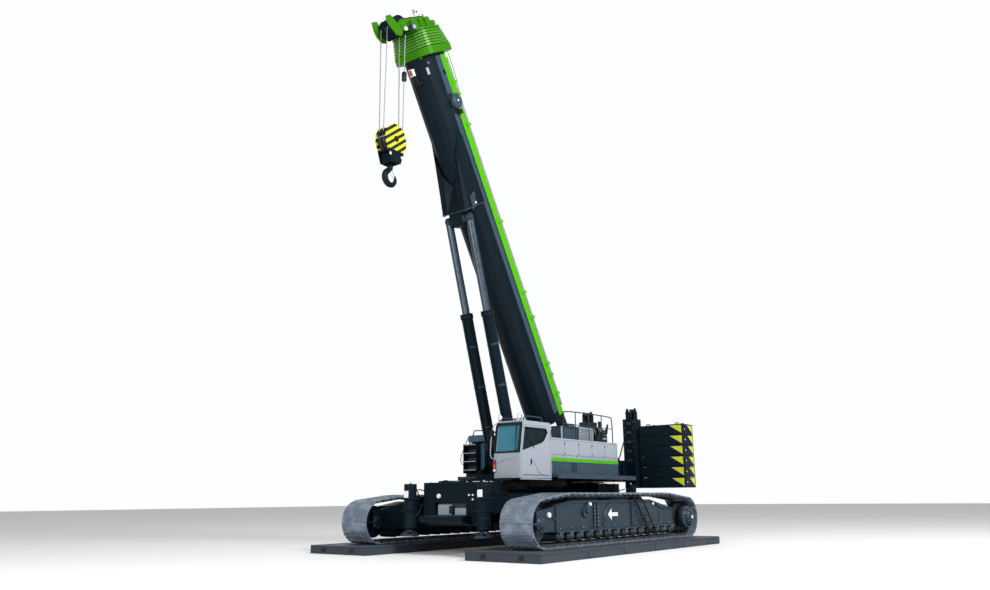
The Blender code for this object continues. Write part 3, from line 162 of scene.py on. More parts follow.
def bare_steel(name, colour, roughness=0.42, rust=0.25, metallic=0.7):
    """Scuffed rolled steel: brighter rubbed patches, long scratches and a little rust."""
    made, tree, shader, where = nodes_for(name)
    rubbed = tuple(min(1.0, part * 1.6) for part in colour)
    patches = ramp(tree, noise(tree, where, 3.2, 6.0), 0.40, 0.68)
    base = mix(tree, patches, colour, rubbed)
    rusty = ramp(tree, noise(tree, where, 11.0, 8.0), 0.60, 0.80)
    base = mix(tree, times(tree, rusty, rust), base, (0.16, 0.075, 0.035))
    scratches = ramp(tree, noise(tree, where, 22.0, 2.0, (1, 0.06, 1)), 0.58, 0.66)
    tree.links.new(mix(tree, times(tree, scratches, 0.3), base, rubbed), shader.inputs["Base Color"])
    tree.links.new(
        ramp(tree, patches, 0, 1, roughness + 0.12, roughness - 0.08), shader.inputs["Roughness"],
    )
    shader.inputs["Metallic"].default_value = metallic
    bump(tree, shader, noise(tree, where, 60.0, 5.0), 0.0015, 0.5)
    return made


def plated(name, colour, roughness):
    """Polished plating, with a faint haze in its roughness and a fine bump."""
    made, tree, shader, where = nodes_for(name)
    shader.inputs["Base Color"].default_value = (*colour, 1.0)
    shader.inputs["Metallic"].default_value = 1.0
    haze = ramp(tree, noise(tree, where, 7.0, 5.0), 0.3, 0.7, roughness, roughness + 0.1)
    tree.links.new(haze, shader.inputs["Roughness"])
    bump(tree, shader, noise(tree, where, 240.0, 2.0), 0.0002, 0.3)
    return made


def plastic(name, colour, roughness=0.55, grain=420.0, sheen=0.0):
    """Moulded plastic or rubber with a fine grain, bleached a little in patches."""
    made, tree, shader, where = nodes_for(name)
    faded = tuple(0.85 * part + 0.006 for part in colour)
    clouds = ramp(tree, noise(tree, where, 4.0, 5.0), 0.35, 0.7)
    tree.links.new(mix(tree, clouds, colour, faded), shader.inputs["Base Color"])
    tree.links.new(ramp(tree, clouds, 0, 1, roughness - 0.06, roughness + 0.1), shader.inputs["Roughness"])
    shader.inputs["Sheen Weight"].default_value = sheen
    shader.inputs["Specular IOR Level"].default_value = 0.25
    bump(tree, shader, noise(tree, where, grain, 3.0), 0.0008, 0.6)
    return made


def glazing(name, colour, opacity, roughness=0.03, specular=0.8):
    """Tinted safety glass with a patchy film of dust."""
    made, tree, shader, where = nodes_for(name)
    film = ramp(tree, noise(tree, where, 2.2, 5.0, (1, 1, 0.4)), 0.35, 0.8)
    hazy = tuple(0.85 * part + 0.01 for part in colour)
    tree.links.new(mix(tree, film, colour, hazy), shader.inputs["Base Color"])
    tree.links.new(ramp(tree, film, 0, 1, roughness, roughness + 0.06), shader.inputs["Roughness"])
    tree.links.new(ramp(tree, film, 0, 1, opacity, min(1.0, opacity + 0.1)), shader.inputs["Alpha"])
    shader.inputs["Specular IOR Level"].default_value = specular
    return made


def lens(name, colour, glow=0.0):
    made, tree, shader, where = nodes_for(name)
    flutes = tree.nodes.new("ShaderNodeTexWave")
    flutes.inputs["Scale"].default_value = 30.0
    tree.links.new(where, flutes.inputs["Vector"])
    deeper = tuple(part * 0.7 for part in colour)
    tree.links.new(mix(tree, flutes.outputs["Fac"], colour, deeper), shader.inputs["Base Color"])
    shader.inputs["Roughness"].default_value = 0.08
    shader.inputs["Coat Weight"].default_value = 1.0
    shader.inputs["Emission Color"].default_value = (*colour, 1.0)
    shader.inputs["Emission Strength"].default_value = glow
    bump(tree, shader, flutes.outputs["Fac"], 0.002, 0.6)
    return made


def laid_rope(name, colour, pitch=0.05):
    """Wire rope: strands wound round it, drawn as slanting waves."""
    made, tree, shader, where = nodes_for(name)
    strands = tree.nodes.new("ShaderNodeTexWave")
    strands.bands_direction = "DIAGONAL"
    strands.inputs["Scale"].default_value = 1.0 / pitch
    tree.links.new(where, strands.inputs["Vector"])
    darker = tuple(part * 0.35 for part in colour)
    tree.links.new(mix(tree, strands.outputs["Fac"], darker, colour), shader.inputs["Base Color"])
    shader.inputs["Metallic"].default_value = 0.6
    shader.inputs["Roughness"].default_value = 0.45
    bump(tree, shader, strands.outputs["Fac"], 0.004, 0.8)
    return made


def striped(name, first, second, pitch):
    """Slanting warning stripes across X and Z, with the paint's own texture."""
    made, tree, shader, where = nodes_for(name)
    parts = tree.nodes.new("ShaderNodeSeparateXYZ")
    tree.links.new(where, parts.inputs["Vector"])
    slant = tree.nodes.new("ShaderNodeMath")
    slant.operation = "MULTIPLY_ADD"
    tree.links.new(parts.outputs["X"], slant.inputs[0])
    slant.inputs[1].default_value = 0.80
    tree.links.new(parts.outputs["Z"], slant.inputs[2])
    wrap = tree.nodes.new("ShaderNodeMath")
    wrap.operation = "PINGPONG"
    tree.links.new(slant.outputs[0], wrap.inputs[0])
    wrap.inputs[1].default_value = pitch
    edge = ramp(tree, wrap.outputs[0], pitch * 0.47, pitch * 0.53)
    wear = ramp(tree, noise(tree, where, 30.0, 6.0), 0.62, 0.75)
    base = mix(tree, edge, first, second)
    tree.links.new(mix(tree, times(tree, wear, 0.5), base, (0.05, 0.05, 0.05)), shader.inputs["Base Color"])
    shader.inputs["Roughness"].default_value = 0.4
    bump(tree, shader, noise(tree, where, 160.0, 2.0), 0.0006, 0.5)
    return made


SLATE = paint("slate_paint", (0.0028, 0.0095, 0.0160), 0.42, dust=0.16, specular=0.09)
# A lighter copy of the slate paint. On the left track frame and final drive it is painted light: the sunlit
# side is drawn in lighter slate, the right side in plain slate. Elsewhere it is a lighter grey trim paint.
LIT_SLATE_AND_TRIM_PAINT = paint("lit_slate_and_trim_paint", (0.020, 0.038, 0.055), 0.38, dust=0.25, specular=0.2)
BAND_PAINT = paint("lower_band_paint", (0.034, 0.064, 0.092), 0.38, dust=0.15, specular=0.25)
LIME = paint("lime_paint", (0.072, 0.400, 0.0004), 0.42, dust=0.05, specular=0.15, grime=0.25)
# A darker copy of the lime paint, used on the collar, the head and the cable guides: painted shade.
LIME_PAINTED_SHADE = paint("lime_painted_shade", (0.034, 0.185, 0.0003), 0.42, dust=0.04, specular=0.12, grime=0.25)
PALE = paint("pale_paint", (0.335, 0.375, 0.430), 0.34, dust=0.08, specular=0.35, coat=0.08, grime=0.12)
GREY = paint("grey_paint", (0.034, 0.060, 0.092), 0.42, dust=0.18, specular=0.2)
TANK_PAINT = paint("tank_paint", (0.050, 0.100, 0.160), 0.40, dust=0.12, specular=0.25)
YELLOW = paint("yellow_marking", (0.56, 0.60, 0.002), 0.45, dust=0.1, grime=0.2)
NAVY = paint("navy_marking", (0.030, 0.035, 0.16), 0.45, dust=0.1, grime=0.2)
WHITE = paint("white_marking", (0.80, 0.82, 0.84), 0.45, dust=0.05, grime=0.15)
SHOE = bare_steel("shoe_steel", (0.155, 0.195, 0.245), 0.46, rust=0.15, metallic=0.35)
CHAIN = bare_steel("chain_steel", (0.055, 0.062, 0.070), 0.5, rust=0.45, metallic=0.6)
BOLT = bare_steel("bolt_steel", (0.30, 0.32, 0.34), 0.35, rust=0.3, metallic=0.8)
RING_STEEL = bare_steel("ring_steel", (0.075, 0.068, 0.050), 0.45, rust=0.3, metallic=0.6)
MAT_SIDE = paint("mat_paint", (0.038, 0.050, 0.064), 0.5, dust=0.2, specular=0.2, grime=0.5)
MAT_TOP = bare_steel("mat_tread", (0.050, 0.062, 0.072), 0.6, rust=0.4, metallic=0.2)
CHROME = plated("rod_chrome", (0.10, 0.132, 0.168), 0.26)
RUBBER = plastic("black_rubber", (0.012, 0.013, 0.015), 0.55)
TRIM = plastic("black_trim", (0.006, 0.008, 0.010), 0.42, grain=600.0)
CLOTH = plastic("seat_cloth", (0.028, 0.030, 0.034), 0.85, grain=900.0, sheen=0.4)
GLASS = glazing("teal_glass", (0.045, 0.215, 0.310), 0.80)
DARK_GLASS = glazing("dark_teal_glass", (0.001, 0.014, 0.019), 0.92, specular=0.25)
RED_LENS = lens("red_lens", (0.55, 0.010, 0.006))
AMBER_LENS = lens("amber_lens", (0.80, 0.150, 0.006))
CLEAR_LENS = lens("clear_lens", (0.85, 0.87, 0.90), 0.15)
ROPE = laid_rope("wire_rope", (0.24, 0.25, 0.26))
PALE_ROPE = laid_rope("stay_rope", (0.55, 0.57, 0.58))
HAZARD = striped("hazard_paint", (0.004, 0.005, 0.012), (0.62, 0.60, 0.003), 0.115)

# ---------------------------------------------------------------- shapes


class Shape:
    """One piece's faces as they are gathered, each with the finish it is painted in."""

    def __init__(self):
        self.points = []
        self.faces = []
        self.finishes = []
        self.smooth = []

    def add(self, points, faces, finish, smooth=False):
        start = len(self.points)
        self.points += [Vector(point) for point in points]
        self.faces += [[start + index for index in face] for face in faces]
        self.finishes += [finish] * len(faces)
        self.smooth += [smooth] * len(faces)

    def loft(self, rings, finish, smooth=False, caps=True, closed=False):
        """Faces from ring to ring; closed joins the last ring back to the first."""
        count = len(rings[0])
        points = [point for ring in rings for point in ring]
        faces = []
        for ring in range(len(rings) - (0 if closed else 1)):
            after = (ring + 1) % len(rings)
            for i in range(count):
                j = (i + 1) % count
                faces.append([ring * count + i, ring * count + j, after * count + j, after * count + i])
        self.add(points, faces, finish, smooth)
        if caps and not closed:
            self.add(rings[0], [list(reversed(range(count)))], finish)
            self.add(rings[-1], [list(range(count))], finish)

    def block(self, low, high, finish, chamfer=0.006):
        """A box between two corners, with its edges chamfered."""
        low = Vector([min(a, b) for a, b in zip(low, high)]), Vector([max(a, b) for a, b in zip(low, high)])
        low, high = low
        cut = min(chamfer, *((high - low) * 0.4))
        rings = []
        for z, inset in ((low.z, cut), (low.z + cut, 0), (high.z - cut, 0), (high.z, cut)):
            x0, x1 = low.x + inset, high.x - inset
            y0, y1 = low.y + inset, high.y - inset
            c = cut - inset * 0.5
            rings.append(
                [
                    (x0 + c, y0, z), (x1 - c, y0, z), (x1, y0 + c, z), (x1, y1 - c, z),
                    (x1 - c, y1, z), (x0 + c, y1, z), (x0, y1 - c, z), (x0, y0 + c, z),
                ]
            )
        self.loft(rings, finish)

    def slab(self, outline, low, high, finish, place=None, chamfer=0.005):
        """An (a, b) outline extruded from low to high. `place(a, b, depth)` puts it in space."""
        place = place or (lambda a, b, depth: (a, depth, b))
        middle = sum((Vector(point) for point in outline), Vector((0, 0))) / len(outline)
        cut = min(chamfer, abs(high - low) * 0.4)
        step = cut if high > low else -cut
        rings = []
        for depth, inset in ((low, cut), (low + step, 0.0), (high - step, 0.0), (high, cut)):
            ring = []
            for point in outline:
                offset = middle - Vector(point)
                pull = min(1.0, inset / max(offset.length, 1e-6))
                ring.append(place(*(Vector(point) + offset * pull), depth))
            rings.append(ring)
        self.loft(rings, finish)

    def lathe(self, base, direction, profile, finish, count=32, smooth=True, caps=True):
        """(distance, radius) turned round the direction, with capped ends unless told otherwise."""
        axis = Vector(direction).normalized()
        side = axis.orthogonal().normalized()
        other = axis.cross(side)
        rings = []
        for distance, radius in profile:
            centre = Vector(base) + axis * distance
            ring = []
            for i in range(count):
                angle = 2 * math.pi * i / count
                ring.append(centre + side * (radius * math.cos(angle)) + other * (radius * math.sin(angle)))
            rings.append(ring)
        self.loft(rings, finish, smooth, caps)

    def rod(self, start, end, radius, finish, count=16, lip=0.0):
        """A round bar with its ends chamfered; lip widens both ends."""
        length = (Vector(end) - Vector(start)).length
        cut = min(radius * 0.25, length * 0.1)
        profile = [
            (0, radius - cut), (cut, radius + lip), (length - cut, radius + lip),
            (length, radius - cut),
        ]
        if lip:
            profile[2:2] = [(cut * 2, radius), (length - cut * 2, radius)]
        self.lathe(start, Vector(end) - Vector(start), profile, finish, count)

    def tube(self, path, radius, finish, count=10, rounds=3):
        """A round tube along a path, whose corners are eased `rounds` times."""
        path = [Vector(point) for point in path]
        for _ in range(rounds):
            eased = [path[0]]
            for a, b in zip(path, path[1:]):
                eased += [a.lerp(b, 0.25), a.lerp(b, 0.75)]
            path = eased + [path[-1]]
        rings = []
        side = None
        for i, point in enumerate(path):
            heading = (path[min(i + 1, len(path) - 1)] - path[max(i - 1, 0)]).normalized()
            side = heading.orthogonal() if side is None else side - heading * side.dot(heading)
            side = side.normalized()
            other = heading.cross(side)
            ring = []
            for k in range(count):
                angle = 2 * math.pi * k / count
                ring.append(point + side * (radius * math.cos(angle)) + other * (radius * math.sin(angle)))
            rings.append(ring)
        self.loft(rings, finish, smooth=True)

    def bolts(self, places, direction, size, finish=None, count=6):
        """Hexagon heads, each on its washer, at the given places."""
        for place in places:
            profile = [
                (0, size * 1.25), (size * 0.2, size * 1.25), (size * 0.2, size), (size * 0.8, size),
                (size * 0.95, size * 0.82),
            ]
            self.lathe(place, direction, profile, finish or BOLT, count, smooth=False)

    def moved(self, matrix, start=0):
        """Moves every point gathered since `start`."""
        for i in range(start, len(self.points)):
            self.points[i] = matrix @ self.points[i]

    def make(self, name, body, replaced=()):
        """The finished object, riding on its body."""
        finishes = list(dict.fromkeys(self.finishes))
        mesh = bpy.data.meshes.new(name)
        mesh.from_pydata(self.points, [], self.faces)
        for finish in finishes:
            mesh.materials.append(finish)
        mesh.polygons.foreach_set("material_index", [finishes.index(finish) for finish in self.finishes])
        mesh.polygons.foreach_set("use_smooth", self.smooth)
        mesh.update()
        shape = bmesh.new()
        shape.from_mesh(mesh)
        bmesh.ops.recalc_face_normals(shape, faces=shape.faces)
        shape.to_mesh(mesh)
        shape.free()
        made = bpy.data.objects.new(name, mesh)
        bpy.context.scene.collection.objects.link(made)
        if replaced:
            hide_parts(*replaced)
        if body:
            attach(made, body)
        return made


def repaint(finish, *names):
    """Gives CAD nodes whose shape is right a detailed finish."""
    for name in names:
        node = frame["nodes"][name]
        node.data.materials.clear()
        node.data.materials.append(finish)


def corners(node):
    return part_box(node)


def oblong(a0, b0, a1, b1):
    """A rectangle's outline between two opposite corners."""
    return [(a0, b0), (a1, b0), (a1, b1), (a0, b1)]


def span(low, high, count):
    """`count` values from low to high, both included."""
    return [low + (high - low) * i / (count - 1) for i in range(count)]


def hull(points):
    """The convex outline of (a, b) points, anticlockwise."""
    ordered = sorted(set(points))

    def chain(sequence):
        kept = []
        for point in sequence:
            while len(kept) > 1:
                (ax, az), (bx, bz) = kept[-2], kept[-1]
                if (bx - ax) * (point[1] - az) - (bz - az) * (point[0] - ax) > 0:
                    break
                kept.pop()
            kept.append(point)
        return kept[:-1]

    return chain(ordered) + chain(reversed(ordered))


def along_loop(outline, count):
    """`count` evenly spaced places on a closed outline: point and outward normal."""
    ends = [Vector(point) for point in outline]
    after = ends[1:] + ends[:1]
    lengths = [(b - a).length for a, b in zip(ends, after)]
    faces = [Vector((b.y - a.y, a.x - b.x)).normalized() for a, b in zip(ends, after)]
    normals = [(faces[i - 1] + faces[i]).normalized() for i in range(len(faces))]
    places, walked, edge = [], 0.0, 0
    for i in range(count):
        target = sum(lengths) * (i + 0.5) / count
        while walked + lengths[edge] < target:
            walked += lengths[edge]
            edge += 1
        share = (target - walked) / lengths[edge]
        following = (edge + 1) % len(ends)
        normal = normals[edge].lerp(normals[following], share).normalized()
        places.append((ends[edge].lerp(ends[following], share), normal))
    return places


# ---------------------------------------------------------------- ground mats

MAT_EDGE = 0.05
POCKET_WIDTH = 0.16


def build_mat(label):
    """A steel mat: a deck plate with raised edges, a web round its sides and lifting pockets."""
    low, high = corners(f"ground_mat_{label}")
    shape = Shape()
    deck = high.z - 0.03
    shape.block((low.x, low.y, low.z), (high.x, high.y, deck), MAT_SIDE, 0.012)
    middle = (low.x + high.x) / 2
    for x0, x1 in ((low.x + MAT_EDGE, middle - 0.012), (middle + 0.012, high.x - MAT_EDGE)):
        panels = span(x0, x1, 5)
        for a, b in zip(panels, panels[1:]):
            shape.block(
                (a + 0.004, low.y + MAT_EDGE, deck - 0.005),
                (b - 0.004, high.y - MAT_EDGE, high.z - 0.004), MAT_TOP, 0.004,
            )
    for y0 in (low.y, high.y - MAT_EDGE + 0.004):
        shape.block((low.x, y0, deck - 0.004), (high.x, y0 + MAT_EDGE - 0.004, high.z), MAT_SIDE, 0.006)
    for x0 in (low.x, high.x - MAT_EDGE + 0.004):
        shape.block(
            (x0, low.y + MAT_EDGE, deck - 0.004),
            (x0 + MAT_EDGE - 0.004, high.y - MAT_EDGE, high.z), MAT_SIDE, 0.006,
        )
    for face, out in ((low.y, -1), (high.y, 1)):
        for x in span(low.x + 0.9, high.x - 2.3, 5):
            rim = oblong(x - POCKET_WIDTH / 2 - 0.03, 0.03, x + POCKET_WIDTH / 2 + 0.03, 0.20)
            hole = oblong(x - POCKET_WIDTH / 2, 0.055, x + POCKET_WIDTH / 2, 0.175)
            shape.slab(rim, face - out * 0.01, face + out * 0.008, RUBBER)
            shape.slab(hole, face - out * 0.01, face + out * 0.012, GREY)
        for x in (middle - 0.25, middle - 0.10, middle + 0.10, middle + 0.25):
            shape.block(
                (x - 0.012, face - out * 0.01, 0.02), (x + 0.012, face + out * 0.008, 0.20),
                MAT_SIDE, 0.003,
            )
        shape.block(
            (low.x + 0.02, face, deck - 0.03), (high.x - 0.02, face + out * 0.010, deck - 0.012),
            MAT_SIDE, 0.003,
        )
    for face, out in ((low.x, -1), (high.x, 1)):
        for y in (low.y + 0.6, high.y - 0.6):
            shape.block((face, y - 0.09, 0.06), (face + out * 0.012, y + 0.09, 0.18), RUBBER, 0.004)
    shape.make(f"mat_{label}", "root", (f"ground_mat_{label}",))


for side, label in SIDES:
    build_mat(label)

# ---------------------------------------------------------------- tracks

SHOE_COUNT = 68
SHOE_PLATE = 0.034
SHOE_LIP = 0.022
TEETH = 5


def track_loop(label):
    """The loop's outer (x, z) outline, from the model's own track."""
    node = frame["nodes"][f"track_{label}"]
    return hull([(round(v.co.x, 4), round(v.co.z, 4)) for v in node.data.vertices])


def shoe_parts(shape, half, pitch):
    """A shoe lying flat, its outer face at z 0 and its middle at the origin."""
    length = pitch * 0.47
    body = [
        (-length, -SHOE_PLATE), (length, -SHOE_PLATE), (length, -SHOE_LIP),
        (length - 0.012, -0.010), (-length + 0.012, -0.010), (-length, -SHOE_LIP),
    ]
    shape.slab(body, -half, half, SHOE, chamfer=0.010)
    shape.block((-length * 0.30, -half + 0.03, -0.012), (length * 0.34, half - 0.03, 0.0), SHOE, 0.005)
    width = half * 1.15 / TEETH
    for i in range(TEETH):
        y = (i - (TEETH - 1) / 2) * width * 1.25
        shape.block(
            (length - 0.02, y - width * 0.32, -SHOE_PLATE),
            (length + 0.035, y + width * 0.32, -0.012), SHOE, 0.004,
        )
        shape.block(
            (-length - 0.002, y - width * 0.30, -SHOE_PLATE + 0.002),
            (-length + 0.035, y + width * 0.30, -0.007), CHAIN, 0.003,
        )
    ends = []
    for side in (-1, 1):
        for x in (-length * 0.62, length * 0.66):
            ends += [(x, side * (half - 0.07), -0.011), (x, side * (half - 0.30), -0.011)]
    shape.bolts(ends, (0, 0, 1), 0.017, BOLT)
    for side in (-1, 1):
        link = [
            (-length * 1.05, -0.125), (length * 0.95, -0.125), (length * 1.05, -0.06),
            (length * 0.9, -SHOE_PLATE + 0.004), (-length * 0.9, -SHOE_PLATE + 0.004),
            (-length * 1.12, -0.07),
        ]
        shape.slab(link, side * 0.20, side * 0.27, CHAIN, chamfer=0.008)
        shape.block(
            (-length * 0.9, side * (half - 0.02), -0.075),
            (-length * 0.55, side * (half - 0.06), -0.02), SHOE, 0.006,
        )
        shape.block(
            (length * 0.55, side * (half - 0.02), -0.075),
            (length * 0.9, side * (half - 0.06), -0.02), SHOE, 0.006,
        )
    shape.rod((-length * 0.8, -0.28, -0.095), (-length * 0.8, 0.28, -0.095), 0.026, CHAIN, 8)


def build_track(label):
    outline = track_loop(label)
    low, high = corners(f"track_{label}")
    middle = (low.y + high.y) / 2
    half = (high.y - low.y) / 2
    total = sum((Vector(a) - Vector(b)).length for a, b in zip(outline, outline[1:] + outline[:1]))
    shape = Shape()
    for point, normal in along_loop(outline, SHOE_COUNT):
        start = len(shape.points)
        shoe_parts(shape, half, total / SHOE_COUNT)
        forward = Vector((-normal.y, 0, normal.x))
        up = Vector((normal.x, 0, normal.y))
        turn = Matrix((forward, Vector((0, 1, 0)), up)).transposed().to_4x4()
        shape.moved(Matrix.Translation((point.x, middle, point.y)) @ turn, start)
    shape.make(f"track_chain_{label}", "root", (f"track_{label}",))


for side, label in SIDES:
    build_track(label)

# ---------------------------------------------------------------- track frames and drives


def arrow(tip, tail, half, neck):
    """A plain arrow's outline in (a, b), pointing from tail to tip along a."""
    sign = 1 if tip > tail else -1
    shoulder = tip - sign * half * 1.25
    return [
        (tip, 0), (shoulder, half), (shoulder, neck), (tail, neck), (tail, -neck),
        (shoulder, -neck), (shoulder, -half),
    ]


def build_track_frame(side, label):
    low, high = corners(f"track_frame_{label}")
    chain_low = corners(f"track_{label}")[0]
    middle = (low.y + high.y) / 2
    half = (high.y - low.y) / 2
    face = middle + side * half
    # The left frame takes the lighter slate copy and the right frame plain slate: painted light and shade
    # of one paint.
    finish = LIT_SLATE_AND_TRIM_PAINT if side > 0 else SLATE
    repaint(finish, f"track_frame_{label}")
    shape = Shape()
    shape.block((-3.42, face - side * 0.02, 0.64), (3.64, face + side * 0.075, 0.70), finish, 0.01)
    for x, top in ((1.62, 1.44), (1.44, 1.44), (-0.62, 1.44), (3.60, 1.30)):
        shape.block(
            (x - 0.030, face - side * 0.01, 0.70), (x + 0.030, face + side * 0.045, top), finish,
            0.008,
        )
    shape.slab(
        [(2.86, 1.42), (3.62, 1.30), (3.62, 1.34), (2.86, 1.46)], face - side * 0.01,
        face + side * 0.05, finish,
    )
    shape.slab(oblong(-1.88, 1.43, 2.86, 1.47), face - side * 0.01, face + side * 0.05, finish)
    shape.slab(
        [(-3.40, 1.15), (-1.88, 1.43), (-1.88, 1.47), (-3.42, 1.19)], face - side * 0.01,
        face + side * 0.05, finish,
    )
    lug = [(2.28, 1.18), (2.02, 1.40), (1.86, 1.40), (1.84, 1.20), (2.06, 1.02), (2.22, 1.04)]
    shape.slab(lug, face, face + side * 0.06, finish)
    shape.rod((2.06, face + side * 0.05, 1.20), (2.06, face + side * 0.12, 1.20), 0.075, CHAIN, 20)
    shape.rod((1.90, face + side * 0.01, 1.38), (1.90, face + side * 0.10, 1.38), 0.05, WHITE, 20)
    swell = [
        (0.86 + 0.20 * math.cos(a) - 0.16 * math.sin(a), 1.06 + 0.34 * math.sin(a))
        for a in (2 * math.pi * i / 28 for i in range(28))
    ]
    shape.slab(swell, face - side * 0.005, face + side * 0.03, finish, chamfer=0.02)
    inner = [(0.86 + 0.6 * (x - 0.86), 1.06 + 0.6 * (z - 1.06)) for x, z in swell]
    shape.slab(inner, face + side * 0.02, face + side * 0.045, finish, chamfer=0.012)
    for x0, x1 in ((-1.55, -2.35), (-2.45, -3.05)):
        shape.block((x0, face - side * 0.005, 0.82), (x1, face + side * 0.014, 1.24), finish, 0.012)
    shape.rod((-2.05, face, 1.36), (-2.05, face + side * 0.05, 1.36), 0.045, WHITE, 16)
    shape.slab(
        [(-2.28, 1.30), (-2.85, 1.16), (-2.85, 1.22), (-2.28, 1.37)], face, face + side * 0.055,
        finish,
    )
    shape.bolts([(x, face + side * 0.004, 0.76) for x in span(-3.2, 3.4, 12)], (0, side, 0), 0.020)
    shape.bolts(
        [(x, face + side * 0.045, 0.70 + 0.10 * k) for x in (1.62, 1.44) for k in range(1, 7)],
        (0, side, 0), 0.016,
    )
    roller = chain_low.z + 0.17 + 0.14
    for x in span(-3.24, 3.44, 14):
        shape.lathe(
            (x, middle + side * (half - 0.05), roller), (0, side, 0),
            [(0, 0.135), (0.08, 0.135), (0.09, 0.10), (0.13, 0.095), (0.14, 0.045), (0.165, 0.045)],
            CHAIN, 20,
        )
        shape.block(
            (x - 0.10, face - side * 0.02, roller + 0.02),
            (x + 0.10, face + side * 0.085, roller + 0.14), finish, 0.01,
        )
        shape.bolts(
            [
                (x - 0.06, face + side * 0.085, roller + 0.09),
                (x + 0.06, face + side * 0.085, roller + 0.09),
            ],
            (0, side, 0), 0.014,
        )
    for x in (-1.5, 0.4, 2.3):
        for out in (-1, 1):
            shape.lathe(
                (x, middle + out * 0.10, high.z - 0.10), (0, out, 0),
                [(0, 0.13), (0.10, 0.13), (0.11, 0.08), (0.20, 0.07), (0.21, 0.0)], CHAIN, 20,
            )
    front = high.x
    for out in (-1, 1):
        plate = middle + out * half
        shape.lathe(
            (4.34, plate - out * 0.02, chain_low.z + 0.66), (0, out, 0),
            [(0, 0.20), (0.05, 0.20), (0.06, 0.14), (0.09, 0.13), (0.10, 0.05)], finish, 24,
        )
        shape.bolts(
            [
                (4.34 + 0.165 * math.cos(a), plate + out * 0.025, chain_low.z + 0.66 + 0.165 * math.sin(a))
                for a in (math.pi * k / 4 for k in range(8))
            ],
            (0, out, 0), 0.016,
        )
        shape.block((front - 0.45, plate, 0.86), (front - 0.02, plate + out * 0.03, 0.92), finish, 0.008)
    shape.rod((3.98, face, 1.12), (3.98, face + side * 0.08, 1.12), 0.07, WHITE, 20)
    shape.rod((3.72, face, 1.02), (3.72, face + side * 0.06, 1.02), 0.035, CHAIN, 12)
    mark = [(1.06 + a * 1.0, 1.075 + b) for a, b in arrow(-0.22, 0.36, 0.17, 0.055)]
    mark = [(0.86 - (x - 0.86), z) for x, z in mark]
    shape.slab(mark, face + side * 0.044, face + side * 0.050, WHITE, chamfer=0.001)
    shape.make(f"track_frame_detail_{label}", "root")


def build_ladder(side, label):
    """Two bent rails and four treads on the outside of a track frame."""
    low, high = corners(f"track_frame_{label}")
    out = (low.y + high.y) / 2 + side * (high.y - low.y) / 2
    edge = (low.y + high.y) / 2 + side * 0.515
    top = (-0.62, edge - side * 0.03, 1.66)
    shape = Shape()
    for dx in (0.0, -0.46):
        path = [
            (-0.30 + dx, out - side * 0.05, 1.60), (-0.42 + dx, edge - side * 0.06, 1.62),
            (-0.62 + dx, edge - side * 0.02, 1.50), (-1.30 + dx, edge - side * 0.01, 0.62),
            (-1.44 + dx, edge - side * 0.02, 0.46),
        ]
        shape.tube(path, 0.020, SLATE, 8, 2)
    for k in range(5):
        share = k / 4
        x = -0.66 - 0.66 * share
        z = 1.44 - 0.86 * share
        shape.block(
            (x - 0.46, edge - side * 0.11, z - 0.012), (x, edge + side * 0.0, z + 0.012), SLATE,
            0.004,
        )
    shape.bolts([top], (0, side, 0), 0.02)
    shape.make(f"ladder_{label}", "root")


def build_drive(side, label):
    """The sprocket's toothed rim and the final drive that stands out past the track."""
    low, high = corners(f"sprocket_{label}")
    track_low, track_high = corners(f"track_{label}")
    middle = (track_low.y + track_high.y) / 2
    x = (low.x + high.x) / 2
    z = (low.z + high.z) / 2
    rim = (high.z - low.z) / 2
    shape = Shape()
    shape.lathe(
        (x, middle - side * 0.24, z), (0, side, 0),
        [(0, 0.29), (0.12, 0.30), (0.12, rim - 0.10), (0.36, rim - 0.10), (0.36, 0.36)], CHAIN, 48,
        smooth=False,
    )
    for k in range(16):
        angle = 2 * math.pi * k / 16
        tooth = [(-0.075, rim - 0.12), (0.075, rim - 0.12), (0.035, rim - 0.004), (-0.035, rim - 0.004)]
        ring = [
            (x + a * math.cos(angle) - b * math.sin(angle), z + a * math.sin(angle) + b * math.cos(angle))
            for a, b in tooth
        ]
        shape.slab(ring, middle - side * 0.10, middle + side * 0.10, CHAIN, chamfer=0.01)
    hub = [
        (0.34, 0.30), (0.34, 0.36), (0.56, 0.36), (0.575, 0.345), (0.575, 0.30), (0.66, 0.295),
        (0.675, 0.27), (0.70, 0.27), (0.70, 0.225), (0.735, 0.22), (0.75, 0.19), (0.75, 0.05),
    ]
    base = middle - side * 0.12
    # The left hub takes the lighter slate copy and the right hub plain slate: painted light and shade of
    # one paint.
    shape.lathe((x, base, z), (0, side, 0), hub, LIT_SLATE_AND_TRIM_PAINT if side > 0 else SLATE, 40)
    for radius, count, depth, size in ((0.325, 20, 0.575, 0.018), (0.245, 12, 0.70, 0.016)):
        places = [
            (x + radius * math.cos(a), base + side * depth, z + radius * math.sin(a))
            for a in (2 * math.pi * k / count for k in range(count))
        ]
        shape.bolts(places, (0, side, 0), size)
    shape.lathe((x, base + side * 0.75, z), (0, side, 0), [(0, 0.06), (0.004, 0.055)], WHITE, 20)
    shape.make(f"drive_{label}", "root", (f"sprocket_{label}",))


for side, label in SIDES:
    build_track_frame(side, label)
    build_ladder(side, label)
    build_drive(side, label)

# ---------------------------------------------------------------- carbody, end weights and jacks


